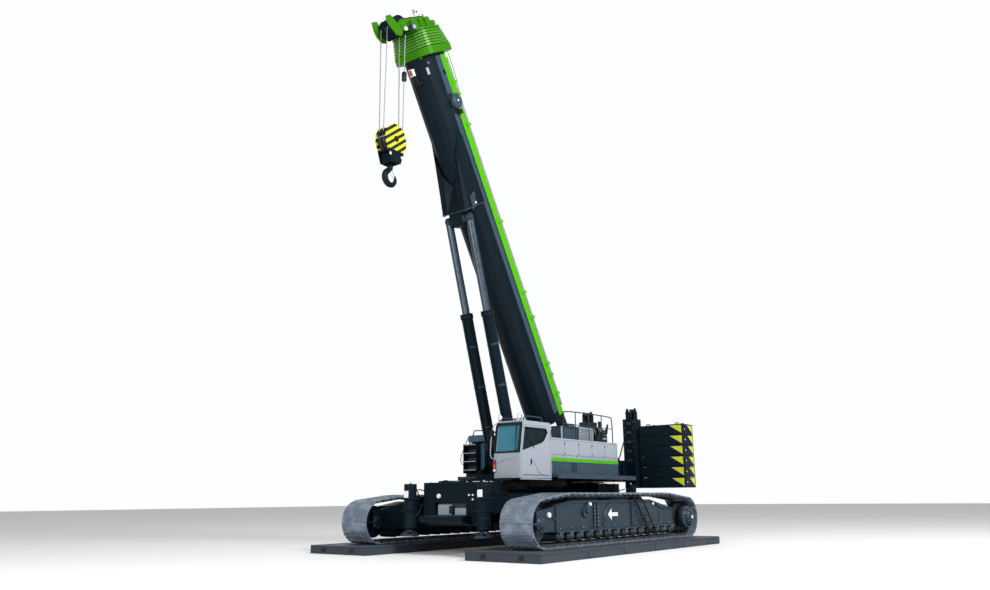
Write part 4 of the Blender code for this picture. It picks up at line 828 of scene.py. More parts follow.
def build_carbody():
    repaint(SLATE, "carbody")
    shape = Shape()
    deck = 1.70
    for x in (-1.9, -0.9, 0.9, 1.9):
        shape.block((x - 0.3, -1.2, deck - 0.005), (x + 0.3, 1.2, deck + 0.02), SLATE, 0.01)
    shape.lathe((0, 0, deck), (0, 0, 1), [(0, 1.16), (0.05, 1.16), (0.06, 1.10), (0.20, 1.10)], SLATE, 64)
    for k in range(28):
        a = 2 * math.pi * k / 28
        shape.slab(
            [(1.08, 0.0), (1.20, 0.0), (1.10, 0.14), (1.08, 0.14)], -0.010, 0.010, SLATE,
            lambda r, h, w, a=a: (
                r * math.cos(a) - w * math.sin(a), r * math.sin(a) + w * math.cos(a), deck + h,
            ),
            0.002,
        )
    for end in (-1, 1):
        for out in (-1, 1):
            shape.block((end * 1.3, out * 2.70, 0.95), (end * 2.4, out * 2.62, 1.40), SLATE, 0.02)
            for x in span(1.4, 2.3, 5):
                shape.bolts([(end * x, out * 2.60, 1.46)], (0, 0, 1), 0.022)
            shape.tube(
                [
                    (end * 2.62, out * 1.22, 1.30), (end * 2.9, out * 1.18, 1.34),
                    (end * 3.1, out * 1.15, 1.18), (end * 3.6, out * 1.14, 1.30),
                    (end * 4.05, out * 1.20, 1.40),
                ],
                0.022, RUBBER, 8,
            )
            shape.tube(
                [
                    (end * 2.62, out * 1.30, 1.55), (end * 3.0, out * 1.20, 1.70),
                    (end * 3.5, out * 1.16, 1.75), (end * 4.06, out * 1.25, 1.84),
                ],
                0.018, RUBBER, 8,
            )
    shape.make("carbody_detail", "root")


def build_end_weight(end, label):
    repaint(SLATE, f"end_weight_{label}")
    high = corners(f"end_weight_{label}")[1]
    face = 4.06
    top = high.z
    shape = Shape()
    shape.block((end * 3.83, -0.585, 1.082), (end * 3.90, 0.585, 1.455), GREY, 0.01)
    shape.block((end * 3.90, -0.56, 1.10), (end * 3.96, -0.02, 1.40), PALE, 0.01)
    shape.block((end * 3.90, 0.10, 1.10), (end * 3.97, 0.58, 1.30), PALE, 0.01)
    shape.block((end * 3.96, -0.10, 1.14), (end * 4.00, 0.06, 1.36), RUBBER, 0.01)
    shape.block((end * 4.02, -0.62, 1.072), (end * 4.50, 0.62, 1.088), GREY, 0.004)
    shape.block((end * 4.50, -0.79, 0.99), (end * 4.53, 0.79, 1.07), SLATE, 0.008)
    for y in (-0.86, 0.86):
        shape.block(
            (end * (face - 0.02), y - 0.02, 0.95), (end * (face + 0.02), y + 0.02, top - 0.02),
            SLATE, 0.006,
        )
    shape.block(
        (end * (face - 0.02), -1.02, top - 0.07), (end * (face + 0.018), 1.02, top - 0.02), SLATE,
        0.006,
    )
    shape.rod((end * (face - 0.01), -0.42, 1.64), (end * (face + 0.05), -0.42, 1.64), 0.065, WHITE, 20)
    for y, z in ((0.72, 1.66), (0.86, 1.66), (0.86, 1.54)):
        shape.rod((end * (face - 0.01), y, z), (end * (face + 0.035), y, z), 0.030, WHITE, 12)
    for x, y in ((3.75, -0.45), (3.75, 0.45), (2.95, -0.45), (2.95, 0.45)):
        shape.tube(
            [
                (end * x, y - 0.12, top - 0.02), (end * x, y - 0.12, top + 0.05),
                (end * x, y + 0.12, top + 0.05), (end * x, y + 0.12, top - 0.02),
            ],
            0.022, SLATE, 8,
        )
    shape.block((end * 3.55, -0.92, top - 0.005), (end * 3.20, -0.35, top + 0.06), GREY, 0.02)
    shape.bolts([(end * x, y, top) for x in (2.8, 3.3, 3.9) for y in (-0.92, 0.92)], (0, 0, 1), 0.025)
    shape.make(f"end_weight_detail_{label}", "root")


def build_jack(end, side, name):
    low, high = corners(f"jack_foot_{name}")
    centre = (low + high) / 2
    x, y = centre.x, centre.y
    top = 2.0
    shape = Shape()
    tube = [
        (0, 0.20), (0.04, 0.20), (0.06, 0.175), (0.22, 0.175), (0.24, 0.19), (0.30, 0.19),
        (0.32, 0.175), (1.12, 0.175), (1.14, 0.19), (1.20, 0.19), (1.22, 0.16), (1.255, 0.15),
        (1.265, 0.05),
    ]
    shape.lathe((x, y, 0.735), (0, 0, 1), tube, SLATE, 32)
    for z in (0.99, 1.90):
        shape.bolts(
            [
                (x + 0.165 * math.cos(a), y + 0.165 * math.sin(a), z)
                for a in (math.pi * k / 5 for k in range(10))
            ],
            (0, 0, 1), 0.013,
        )
    shape.rod((x, y, top - 0.02), (x, y, top + 0.06), 0.035, BOLT, 12)
    shape.block((x + end * 0.17, y - 0.085, 1.60), (x + end * 0.20, y + 0.085, 1.80), WHITE, 0.006)
    shape.tube(
        [
            (x - end * 0.16, y, 1.86), (x - end * 0.28, y, 1.88),
            (x - end * 0.34, y - side * 0.05, 1.60), (x - end * 0.5, y - side * 0.16, 1.45),
        ],
        0.018, RUBBER, 8,
    )
    shape.tube(
        [
            (x, y - side * 0.17, 1.05), (x - end * 0.10, y - side * 0.26, 1.15),
            (x - end * 0.3, y - side * 0.22, 1.42),
        ],
        0.018, RUBBER, 8,
    )
    for z in (1.22, 1.56):
        shape.block((x - 0.21, y - 0.21, z - 0.02), (x + 0.21, y + 0.21, z + 0.02), SLATE, 0.03)
    shape.make(f"jack_tube_{name}", "root")
    foot = Shape()
    foot.lathe(
        (x, y, low.z), (0, 0, 1),
        [
            (0, 0.24), (0.02, 0.268), (0.045, 0.268), (0.055, 0.15), (0.16, 0.14), (0.17, 0.128),
            (0.9, 0.128),
        ],
        CHROME, 32,
    )
    foot.lathe(
        (x, y, low.z), (0, 0, 1), [(-0.0, 0.262), (0.02, 0.269), (0.05, 0.269), (0.06, 0.2)], GREY,
        32,
    )
    for k in range(6):
        a = math.pi * k / 3 + 0.3
        foot.slab(
            [(0.10, 0.05), (0.255, 0.05), (0.14, 0.17), (0.10, 0.17)], -0.012, 0.012, GREY,
            lambda r, h, w, a=a: (
                x + r * math.cos(a) - w * math.sin(a), y + r * math.sin(a) + w * math.cos(a),
                low.z + h,
            ),
            0.002,
        )
    foot.make(f"jack_rod_{name}", f"jack_{name}", (f"jack_foot_{name}",))


build_carbody()
for end, end_label in ((1, "front"), (-1, "rear")):
    build_end_weight(end, end_label)
    for side, label in SIDES:
        build_jack(end, side, f"{end_label}_{label}")


def build_slewing_ring():
    """The geared ring: a lower race with teeth and bolts, and the smooth race above it."""
    low, high = corners("slewing_ring")
    radius = (high.x - low.x) / 2
    shape = Shape()
    shape.lathe(
        (0, 0, low.z), (0, 0, 1),
        [
            (0, radius - 0.10), (0.012, radius - 0.07), (0.095, radius - 0.05),
            (0.10, radius - 0.015), (0.175, radius - 0.015), (0.178, radius - 0.10),
        ],
        RING_STEEL, 128,
    )
    teeth = 96
    for k in range(teeth):
        a = 2 * math.pi * k / teeth
        shape.slab(
            [
                (radius - 0.07, 0.010), (radius - 0.004, 0.014), (radius - 0.004, 0.090),
                (radius - 0.07, 0.094),
            ],
            -0.020, 0.020, RING_STEEL,
            lambda r, h, w, a=a: (
                r * math.cos(a) - w * math.sin(a), r * math.sin(a) + w * math.cos(a), low.z + h,
            ),
            0.006,
        )
    shape.bolts(
        [
            ((radius - 0.09) * math.cos(a), (radius - 0.09) * math.sin(a), high.z - 0.012)
            for a in (2 * math.pi * k / 60 for k in range(60))
        ],
        (0, 0, 1), 0.009,
    )
    shape.make("geared_ring", "root", ("slewing_ring",))


build_slewing_ring()

# ---------------------------------------------------------------- boom

FOOT = Vector(joints["boom_luff"]["pos_m"])
ALONG = Vector(joints["telescope_1"]["axis"]).normalized()
ACROSS = Vector((-ALONG.z, 0, ALONG.x))
HALF = 0.56
ROOF = 0.28
DEPTH = 1.12
WALL = 0.016
BASE_END = 13.50
COLLAR = 0.23
SHEAVE_CENTRE = Vector(joints["head_sheave_turn"]["pos_m"])


def on_boom(along, across, y):
    """The point at a distance along the boom from its foot pin and a height across it."""
    return FOOT + ALONG * along + ACROSS * across + Vector((0, y, 0))


def tube_outline(inset, facets=8):
    """The boom's section: flat roof, upright sides, and a belly folded from flat strips."""
    half = HALF - inset
    roof = ROOF - inset
    centre = ROOF - DEPTH + HALF
    outline = [(half, roof - 0.05), (half - 0.05, roof), (-half + 0.05, roof), (-half, roof - 0.05)]
    for i in range(facets + 1):
        angle = math.pi + math.pi * i / facets
        outline.append((half * math.cos(angle), centre + half * math.sin(angle)))
    return outline


def collar_outline(grow=0.0):
    half = 0.78 + grow
    roof = ROOF + 0.216 + grow
    low = -0.845 - grow
    centre = -0.30
    outline = [(half, roof - 0.12), (half - 0.12, roof), (-half + 0.12, roof), (-half, roof - 0.12)]
    for i in range(11):
        angle = math.pi + math.pi * i / 10
        cosine = math.cos(angle)
        bulge = abs(math.sin(angle)) ** 0.55
        outline.append((math.copysign(half * abs(cosine) ** 0.55, cosine), centre + (low - centre) * bulge))
    return outline


def strip(shape, start, end, high, low, lift, finish, side=1):
    """A flat strip along the boom's side, between two heights across it."""
    face = side * HALF
    outline = oblong(start, low, end, high)
    shape.slab(outline, face - side * 0.004, face + side * lift, finish, on_boom, 0.001)


def build_boom_base():
    shape = Shape()
    outer = tube_outline(0.0)
    inner = tube_outline(WALL)
    collar = collar_outline()
    start = BASE_END - COLLAR
    rings = []
    for along, outline in ((0.62, outer), (start, outer)):
        rings.append([on_boom(along, height, y) for y, height in outline])
    shape.loft(rings, SLATE, caps=False)
    rings = []
    for along, outline in ((BASE_END, inner), (0.62, inner)):
        rings.append([on_boom(along, height, y) for y, height in outline])
    shape.loft(rings, SLATE, caps=False)
    rim = []
    for along, outline in ((0.62, inner), (0.62, outer)):
        rim.append([on_boom(along, height, y) for y, height in outline])
    shape.loft(rim, SLATE, caps=False)
    squarer = [collar_outline(-0.30), collar, collar, collar_outline(-0.20)]
    rings = []
    for along, outline in zip((start - 0.002, start, BASE_END, BASE_END), squarer):
        rings.append([on_boom(along, height, y) for y, height in outline])
    # The collar is drawn in the darker lime copy: painted shade.
    shape.loft(rings[:3], LIME_PAINTED_SHADE, caps=False)
    count = len(collar)
    inner_mouth = [on_boom(BASE_END, height, y) for y, height in collar_bore(count)]
    shape.loft([rings[2], inner_mouth], LIME_PAINTED_SHADE, caps=False)
    outer_mouth = [on_boom(start, height, y) for y, height in collar_bore(count, 0.0)]
    shape.loft([outer_mouth, [on_boom(start, height, y) for y, height in collar]], RUBBER, caps=False)
    for side in (-1, 1):
        foot = [(-0.34, -0.22), (-0.42, 0.0), (-0.34, 0.24), (0.9, 0.25), (0.9, -0.30), (0.3, -0.28)]
        shape.slab(foot, side * 0.485, side * 0.556, SLATE, on_boom, 0.008)
        shape.lathe(
            on_boom(0, 0, side * 0.47), (0, side, 0),
            [(0, 0.26), (0.10, 0.26), (0.115, 0.20), (0.127, 0.20)], SLATE, 32,
        )
    shape.rod(on_boom(0, 0, -0.597), on_boom(0, 0, 0.597), 0.17, CHAIN, 32)
    for side in (-1, 1):
        strip(shape, 0.90, 13.20, 0.02, -0.055, 0.004, NAVY, side)
        strip(shape, 0.70, 13.22, 0.230, -0.03, 0.007, LIME, side)
        strip(shape, 0.90, 13.20, -0.06, -0.30, 0.003, BAND_PAINT, side)
    roof_edge = oblong(0.70, 0.0, 13.22, 0.14)
    for side in (-1, 1):
        shape.slab(
            roof_edge, 0.2795, 0.286, LIME,
            lambda a, b, d, side=side: on_boom(a, d, side * (HALF - 0.05 - b)), 0.001,
        )
        bevel = [
            on_boom(0.70, 0.236, side * 0.563), on_boom(13.22, 0.236, side * 0.563),
            on_boom(13.22, 0.285, side * 0.512), on_boom(0.70, 0.285, side * 0.512),
        ]
        shape.add(bevel, [[0, 1, 2, 3]], LIME)
    for along in (1.4, 2.1, 2.5, 4.2, 5.1, 7.6, 10.9, 11.9, 12.3):
        for side in (-1, 1):
            bracket = [
                (along - 0.05, 0.14), (along + 0.05, 0.14), (along + 0.05, 0.34),
                (along - 0.05, 0.36),
            ]
            shape.slab(bracket, side * 0.545, side * 0.60, LIME, on_boom, 0.004)
            shape.bolts([on_boom(along, 0.22, side * 0.60)], (0, side, 0), 0.014)
    shape.make("boom_base_tube", "boom", ("boom_base",))


def collar_bore(count, inset=WALL):
    """The tube's outline with the same number of points as a collar's."""
    return tube_outline(inset, count - 5)


def build_saddle():
    """The shield under the boom that carries both rod heads, with its pin plates."""
    shape = Shape()
    along, across = 8.156, -1.095
    wedge = [
        (along + 0.30, -0.70), (along + 0.30, across - 0.13), (along, across - 0.17),
        (along - 0.20, across - 0.10), (along - 0.32, -0.86), (along - 0.32, -0.70),
    ]
    shape.slab(wedge, -0.24, 0.24, SLATE, on_boom, 0.012)
    for side in (-1, 1):
        shape.bolts(
            [on_boom(along + a, across + 0.14, side * 0.24) for a in span(-0.12, 0.20, 4)],
            (0, side, 0), 0.016,
        )
        shape.lathe(
            on_boom(along, across, side * 0.24), (0, side, 0),
            [(0, 0.15), (0.03, 0.15), (0.04, 0.12), (0.055, 0.12), (0.055, 0.085), (0.10, 0.085)],
            LIT_SLATE_AND_TRIM_PAINT, 32,
        )
    shield = Shape()
    for side in (-1, 1):
        rim = [
            (8.42, -0.26, 0.572), (8.42, -1.10, 0.565), (8.42, -1.25, 0.46), (8.42, -1.262, 0.25),
            (8.42, -1.265, 0.0),
        ]
        tip = [
            (10.60, -0.26, 0.566), (10.75, -0.45, 0.545), (10.15, -0.72, 0.45),
            (9.60, -0.845, 0.27), (9.20, -0.862, 0.0),
        ]
        points = [on_boom(a, h, side * y) for a, h, y in rim + tip]
        shield.add(points, [[0, 1, 6, 5], [1, 2, 7, 6], [2, 3, 8, 7], [3, 4, 9, 8]], SLATE)
        under = [
            on_boom(8.42, h, side * y)
            for h, y in ((-0.26, 0.572), (-1.10, 0.565), (-1.25, 0.46), (-1.265, 0.0), (-0.80, 0.0))
        ]
        shield.add(under, [[0, 1, 2, 3, 4]], SLATE)
        for start, end in zip(tip, tip[1:]):
            a, b = (on_boom(along, across, side * y) for along, across, y in (start, end))
            shield.rod(a, b, 0.012, SLATE, 8)
        for start, end in zip(rim, rim[1:]):
            a, b = (on_boom(along, across, side * y) for along, across, y in (start, end))
            shield.rod(a, b, 0.022, LIT_SLATE_AND_TRIM_PAINT, 8)
        shield.slab(
            [(8.34, -1.02), (8.80, -0.96), (8.80, -0.70), (8.42, -0.70)], side * 0.575,
            side * 0.600, LIT_SLATE_AND_TRIM_PAINT, on_boom, 0.008,
        )
        shield.bolts([on_boom(a, -0.86, side * 0.600) for a in (8.50, 8.62, 8.74)], (0, side, 0), 0.016)
        shield.rod(on_boom(8.52, -0.78, side * 0.60), on_boom(8.52, -0.78, side * 0.62), 0.035, WHITE, 16)
    shield.make("boom_shield", "boom")
    shape.make("boom_saddle", "boom")


def build_boom_fittings():
    shape = Shape()
    for y, across in ((0.50, 0.40), (0.44, 0.43)):
        path = [on_boom(a, across, y) for a in span(0.9, 13.1, 14)]
        shape.tube(path, 0.014, PALE_ROPE, 8, 0)
    reel = on_boom(11.70, -0.10, 0.566)
    shape.lathe(
        reel, (0, 1, 0),
        [
            (0, 0.08), (0.05, 0.08), (0.05, 0.235), (0.062, 0.24), (0.074, 0.235), (0.074, 0.20),
            (0.12, 0.20), (0.12, 0.235), (0.132, 0.24), (0.144, 0.235), (0.144, 0.07),
            (0.165, 0.065),
        ],
        GREY, 40,
    )
    shape.rod(reel + Vector((0, 0.16, 0)), reel + Vector((0, 0.175, 0)), 0.03, WHITE, 16)
    shape.slab(
        [(11.35, -0.28), (11.98, -0.28), (11.98, -0.20), (11.72, 0.0), (11.60, 0.0), (11.35, -0.16)],
        0.558, 0.60, TRIM, on_boom, 0.006,
    )
    shape.slab(oblong(11.28, -0.14, 11.44, 0.06), 0.56, 0.66, TRIM, on_boom, 0.01)
    belly = math.radians(-45)
    shape.slab(
        oblong(12.68, -0.06, 12.94, 0.06), 0.0, 0.016, RUBBER,
        lambda a, b, d: on_boom(
            a, -0.28 + (HALF + d) * math.sin(belly) + b * math.cos(belly),
            (HALF + d) * math.cos(belly) - b * math.sin(belly),
        ),
        0.004,
    )
    shape.slab(
        oblong(12.705, -0.04, 12.915, 0.04), 0.012, 0.022, PALE,
        lambda a, b, d: on_boom(
            a, -0.28 + (HALF + d) * math.sin(belly) + b * math.cos(belly),
            (HALF + d) * math.cos(belly) - b * math.sin(belly),
        ),
        0.003,
    )
    shape.bolts([on_boom(13.05, -0.62, 0.46)], (0, 1, -0.5), 0.03)
    shape.slab([(12.62, -0.14), (12.74, -0.14), (12.70, -0.08), (12.58, -0.08)], 0.56, 0.60, SLATE, on_boom)
    start, end = on_boom(13.28, 0.10, 0.785), on_boom(11.78, 0.04, 0.74)
    shape.tube(
        [start, on_boom(12.9, 0.10, 0.80), on_boom(12.2, 0.07, 0.79), end, on_boom(11.74, 0.0, 0.62)],
        0.013, LIME, 8, 1,
    )
    for a in (2.6, 4.4, 6.2, 8.0, 9.8):
        shape.slab(oblong(a, -0.10, a + 0.05, -0.04), 0.558, 0.585, SLATE, on_boom)
    shape.tube([on_boom(a, -0.07, 0.575) for a in span(1.2, 11.3, 8)], 0.011, RUBBER, 8, 0)
    shape.slab(
        [(8.60, -0.86), (8.95, -0.80), (8.95, -0.60), (8.60, -0.60)], 0.34, 0.50, TRIM, on_boom,
        0.012,
    )
    shape.lathe(
        on_boom(8.78, -0.72, 0.50), (0, 1, 0),
        [(0, 0.08), (0.03, 0.08), (0.03, 0.05), (0.07, 0.05), (0.07, 0.08), (0.09, 0.08)], CHAIN,
        24,
    )
    shape.tube(
        [on_boom(8.80, -0.80, 0.54), on_boom(9.4, -0.86, 0.42), on_boom(9.9, -0.84, 0.30)], 0.010,
        RUBBER, 8, 2,
    )
    shape.make("boom_fittings", "boom")


def build_limit_switch():
    """The switch on the boom's collar, in its red and white housing."""
    shape = Shape()
    shape.slab(oblong(12.80, -0.96, 13.02, -0.835), -0.12, 0.02, WHITE, on_boom, 0.01)
    shape.slab(oblong(12.83, -0.975, 12.99, -0.955), -0.10, 0.0, RED_LENS, on_boom, 0.01)
    shape.slab(oblong(12.58, -0.95, 12.79, -0.835), -0.12, 0.06, TRIM, on_boom, 0.01)
    shape.slab(oblong(12.50, -0.90, 12.58, -0.83), -0.04, 0.20, TRIM, on_boom, 0.01)
    shape.make("limit_switch", "boom")


def section_paint(name, threshold):
    """Darker lime beyond a distance along the boom, slate short of it. The lime is a darker copy of the
    lime paint: painted shade.
    """
    made, tree, shader, where = nodes_for(name)
    dot = tree.nodes.new("ShaderNodeVectorMath")
    dot.operation = "DOT_PRODUCT"
    tree.links.new(where, dot.inputs[0])
    dot.inputs[1].default_value = ALONG
    collar = ramp(tree, dot.outputs["Value"], threshold - 0.004, threshold)
    clouds = ramp(tree, noise(tree, where, 1.2, 5.0), 0.4, 0.7)
    # The lime here is darker than the lime paint: painted shade.
    lime = mix(tree, times(tree, clouds, 0.35), (0.046, 0.235, 0.0003), (0.026, 0.14, 0.0002))
    slate = mix(tree, times(tree, clouds, 0.35), (0.0028, 0.0095, 0.0160), (0.0015, 0.005, 0.009))
    tree.links.new(mix(tree, collar, slate, lime), shader.inputs["Base Color"])
    tree.links.new(ramp(tree, clouds, 0, 1, 0.30, 0.44), shader.inputs["Roughness"])
    bump(tree, shader, noise(tree, where, 160.0, 2.0), 0.0006, 0.5)
    return made


build_boom_base()
build_saddle()
build_boom_fittings()
build_limit_switch()
for k in range(1, 7):
    start = BASE_END + (k - 1) * 0.086 + 0.024
    threshold = FOOT.dot(ALONG) + start - 0.004
    node = frame["nodes"][f"boom_section_{k}"]
    repaint(section_paint(f"section_paint_{k}", threshold), f"boom_section_{k}")


def build_head():
    """The last section's front: its tube, its collar, and the weldment that carries the sheaves."""
    shape = Shape()
    inset = 7 * 0.043
    rear = 0.95 + 7 * 0.12
    start = BASE_END + 6 * 0.086 + 0.024
    stations = ((rear, inset - 0.0267), (rear + 0.30, inset - 0.0267), (rear + 0.30, inset), (start, inset))
    outer = [[on_boom(a, height, y) for y, height in tube_outline(i)] for a, i in stations]
    shape.loft(outer, SLATE, caps=False)
    inner = [[on_boom(a, height, y) for y, height in tube_outline(inset + WALL)] for a in (start, rear)]
    shape.loft([outer[-1]] + inner + [outer[0]], SLATE, caps=False)
    rim = collar_outline(-0.112)
    plate = [[on_boom(a, height, y) for y, height in rim] for a in (start, start + 0.062)]
    # The head's lime parts are drawn in the darker lime copy: painted shade.
    shape.loft(plate, LIME_PAINTED_SHADE)
    end = start + 0.062
    body = [
        (0.30, 0.36), (-0.30, 0.36), (-0.46, 0.20), (-0.46, -0.50), (-0.36, -0.66), (0.36, -0.66),
        (0.46, -0.50), (0.46, 0.20),
    ]
    front = [
        (0.26, 0.40), (-0.26, 0.40), (-0.40, 0.26), (-0.40, -0.62), (-0.38, -0.90), (0.38, -0.90),
        (0.40, -0.62), (0.40, 0.26),
    ]
    rings = [
        [on_boom(end - 0.01, h, y) for y, h in body], [on_boom(end + 0.14, h, y) for y, h in body],
        [on_boom(end + 0.30, h, y) for y, h in front],
        [on_boom(end + 0.36, h * 0.97, y * 0.95) for y, h in front],
    ]
    shape.loft(rings, LIME_PAINTED_SHADE)
    for side in (-1, 1):
        inner = side * 0.335
        cheek = [
            (end + 0.02, -0.60), (end + 0.34, -0.50), (end + 0.36, -0.98), (14.40, -1.33),
            (14.16, -1.30), (end + 0.0, -0.98),
        ]
        shape.slab(cheek, inner, inner + side * 0.04, LIME_PAINTED_SHADE, on_boom, 0.006)
        shape.lathe(
            on_boom(14.32, -1.12, inner), (0, side, 0),
            [(0, 0.15), (0.05, 0.15), (0.065, 0.11), (0.085, 0.10)], LIME_PAINTED_SHADE, 28,
        )
        fork = [
            (end + 0.02, 0.30), (end + 0.02, 0.50), (end + 0.12, 0.66), (end + 0.24, 0.66),
            (end + 0.26, 0.50), (end + 0.20, 0.30),
        ]
        shape.slab(fork, side * 0.24, side * 0.30, LIME_PAINTED_SHADE, on_boom, 0.008)
        shape.rod(
            on_boom(end + 0.17, 0.57, side * 0.22), on_boom(end + 0.17, 0.57, side * 0.33), 0.04,
            BOLT, 16,
        )
        shape.slab(
            [(end + 0.30, 0.02), (end + 0.30, 0.24), (end + 0.48, 0.30), (end + 0.50, 0.10)],
            side * 0.16, side * 0.21, LIME_PAINTED_SHADE, on_boom, 0.008,
        )
    near = [
        (14.62, -1.77), (14.63, -1.56), (14.42, -1.40), (14.08, -1.24), (13.98, -1.36),
        (14.02, -1.56), (14.24, -1.70), (14.46, -1.82),
    ]
    far = [
        (14.66, -1.56), (14.66, -1.34), (14.42, -1.24), (14.12, -1.12), (13.98, -1.24),
        (14.02, -1.44), (14.20, -1.56), (14.38, -1.60),
    ]
    for outline, side in ((near, 1), (far, -1)):
        shape.slab(outline, side * 0.355, side * 0.40, LIME_PAINTED_SHADE, on_boom, 0.008)
    for y, low, high in ((0.43, -0.40, -0.34), (0.43, -0.10, -0.04)):
        shape.slab(oblong(end + 0.0, low, end + 0.30, high), y, y + 0.06, LIME_PAINTED_SHADE, on_boom, 0.006)
    shape.slab(oblong(end - 0.02, -0.86, end + 0.16, -0.66), 0.40, 0.50, GREY, on_boom, 0.015)
    shape.slab(oblong(end + 0.01, -0.83, end + 0.13, -0.69), 0.498, 0.512, PALE, on_boom, 0.004)
    shape.rod(on_boom(end + 0.06, -1.12, 0.40), on_boom(end + 0.06, -1.12, 0.47), 0.06, WHITE, 20)
    shape.tube([on_boom(end + 0.38, h, 0.34) for h in (-1.30, -0.9, -0.4, 0.0)], 0.020, RUBBER, 8, 1)
    for a, h, y, size in (
        (end + 0.40, -0.34, 0.10, 0.055), (end + 0.40, 0.06, 0.20, 0.05),
        (end + 0.42, -0.14, 0.0, 0.045),
    ):
        shape.slab(oblong(a - size, h - size, a + size, h + size), y - 0.07, y + 0.07, TRIM, on_boom, 0.01)
    shape.slab(oblong(end + 0.38, -0.04, end + 0.46, 0.04), 0.24, 0.32, WHITE, on_boom, 0.01)
    shape.tube(
        [
            on_boom(end + 0.28, -0.80, 0.44), on_boom(end + 0.1, -0.94, 0.52),
            on_boom(end - 0.02, -0.90, 0.50),
        ],
        0.022, RUBBER, 8, 2,
    )
    shape.make("boom_head", "boom_section_7", ("boom_section_7",))
    mast = Shape()
    foot = on_boom(end + 0.36, -0.12, 0.10)
    top = foot + Vector((0, 0, 0.30))
    mast.rod(foot - Vector((0, 0, 0.10)), top, 0.010, TRIM, 8)
    for k in range(3):
        a = 2 * math.pi * k / 3
        tip = top + Vector((0.07 * math.cos(a), 0.07 * math.sin(a), 0))
        mast.rod(top, tip, 0.005, TRIM, 6)
        mast.lathe(
            tip, (-math.sin(a), math.cos(a), 0), [(0, 0.006), (0.006, 0.022), (0.026, 0.028)], TRIM,
            12,
        )
    mast.make("wind_gauge", "boom_section_7")
    cable = Shape()
    for k in range(4):
        a = 13.20 + 0.075 * k
        across_it = -0.80 + 0.012 * k
        cable.slab(oblong(a, across_it, a + 0.05, across_it + 0.05), 0.34, 0.41, LIME_PAINTED_SHADE, on_boom, 0.006)
    cable.make("cable_guides", "boom")


build_head()


def build_sheaves(name, body, centre, radius, half, grooves, replaced, finish):
    shape = Shape()
    pitch = 2 * half / grooves
    for i in range(grooves):
        low = -half + i * pitch
        profile = [
            (low + 0.004, 0.12), (low + 0.02, 0.13), (low + 0.03, radius - 0.10),
            (low + 0.012, radius - 0.06), (low + 0.012, radius - 0.004), (low + 0.022, radius),
        ]
        profile += [
            (low + pitch / 2 - 0.012, radius - 0.055), (low + pitch / 2 + 0.012, radius - 0.055),
            (low + pitch - 0.022, radius), (low + pitch - 0.012, radius - 0.004),
        ]
        profile += [
            (low + pitch - 0.012, radius - 0.06), (low + pitch - 0.03, radius - 0.10),
            (low + pitch - 0.02, 0.13), (low + pitch - 0.004, 0.12),
        ]
        shape.lathe(centre, (0, 1, 0), profile, finish, 48)
    shape.rod(centre - Vector((0, half, 0)), centre + Vector((0, half, 0)), 0.075, BOLT, 20)
    shape.make(name, body, replaced)


build_sheaves("head_sheave_wheels", "head_sheaves", SHEAVE_CENTRE, 0.31, 0.32, 4, ("head_sheaves",), SLATE)
BLOCK_CENTRE = Vector(joints["block_sheave_turn"]["pos_m"])
build_sheaves(
    "block_sheave_wheels", "block_sheaves", BLOCK_CENTRE, 0.40, 0.165, 2, ("block_sheaves",), TRIM,
)

# ---------------------------------------------------------------- hook block, hook and ropes

HANG_X = SHEAVE_CENTRE.x


def build_hook_block():
    x, z = HANG_X, BLOCK_CENTRE.z
    shape = Shape()
    upper = [
        (x - 0.12, z + 0.46), (x + 0.12, z + 0.46), (x + 0.32, z + 0.32), (x + 0.43, z + 0.06),
        (x + 0.42, z - 0.16), (x + 0.30, z - 0.44), (x - 0.30, z - 0.44), (x - 0.42, z - 0.16),
        (x - 0.43, z + 0.06), (x - 0.32, z + 0.32),
    ]
    lower = [(x + 0.33, z - 0.36), (x + 0.20, z - 0.74), (x - 0.20, z - 0.74), (x - 0.33, z - 0.36)]
    for side in (-1, 1):
        shape.slab(upper, side * 0.19, side * 0.225, HAZARD, chamfer=0.012)
        shape.slab(lower, side * 0.185, side * 0.229, SLATE, chamfer=0.012)
        shape.block((x - 0.27, side * 0.226, z - 0.56), (x - 0.20, side * 0.234, z - 0.48), WHITE, 0.003)
        shape.block((x + 0.20, side * 0.226, z - 0.56), (x + 0.27, side * 0.234, z - 0.48), WHITE, 0.003)
        shape.lathe((x, side * 0.22, z), (0, side, 0), [(0, 0.10), (0.008, 0.09)], TRIM, 24)
        shape.bolts(
            [
                (x + dx, side * 0.222, z + dz)
                for dx, dz in ((0, 0.40), (0.30, 0.12), (-0.30, 0.12), (0.22, -0.30), (-0.22, -0.30))
            ],
            (0, side, 0), 0.012,
        )
    for dx, dz in ((0.0, 0.45), (0.38, 0.0), (-0.38, 0.0)):
        shape.rod((x + dx, -0.20, z + dz), (x + dx, 0.20, z + dz), 0.024, BOLT, 12)
    shape.block((x - 0.19, -0.195, z - 0.74), (x - 0.13, 0.195, z - 0.46), SLATE, 0.02)
    shape.block((x + 0.13, -0.195, z - 0.74), (x + 0.19, 0.195, z - 0.46), SLATE, 0.02)
    shape.block((x - 0.20, -0.195, z - 0.575), (x + 0.20, 0.195, z - 0.44), SLATE, 0.02)
    shape.lathe((x, 0, z - 0.578), (0, 0, 1), [(0, 0.11), (0.02, 0.12), (0.14, 0.12)], CHAIN, 28)
    shape.make("hook_block_cheeks", "hook_block", ("hook_block",))


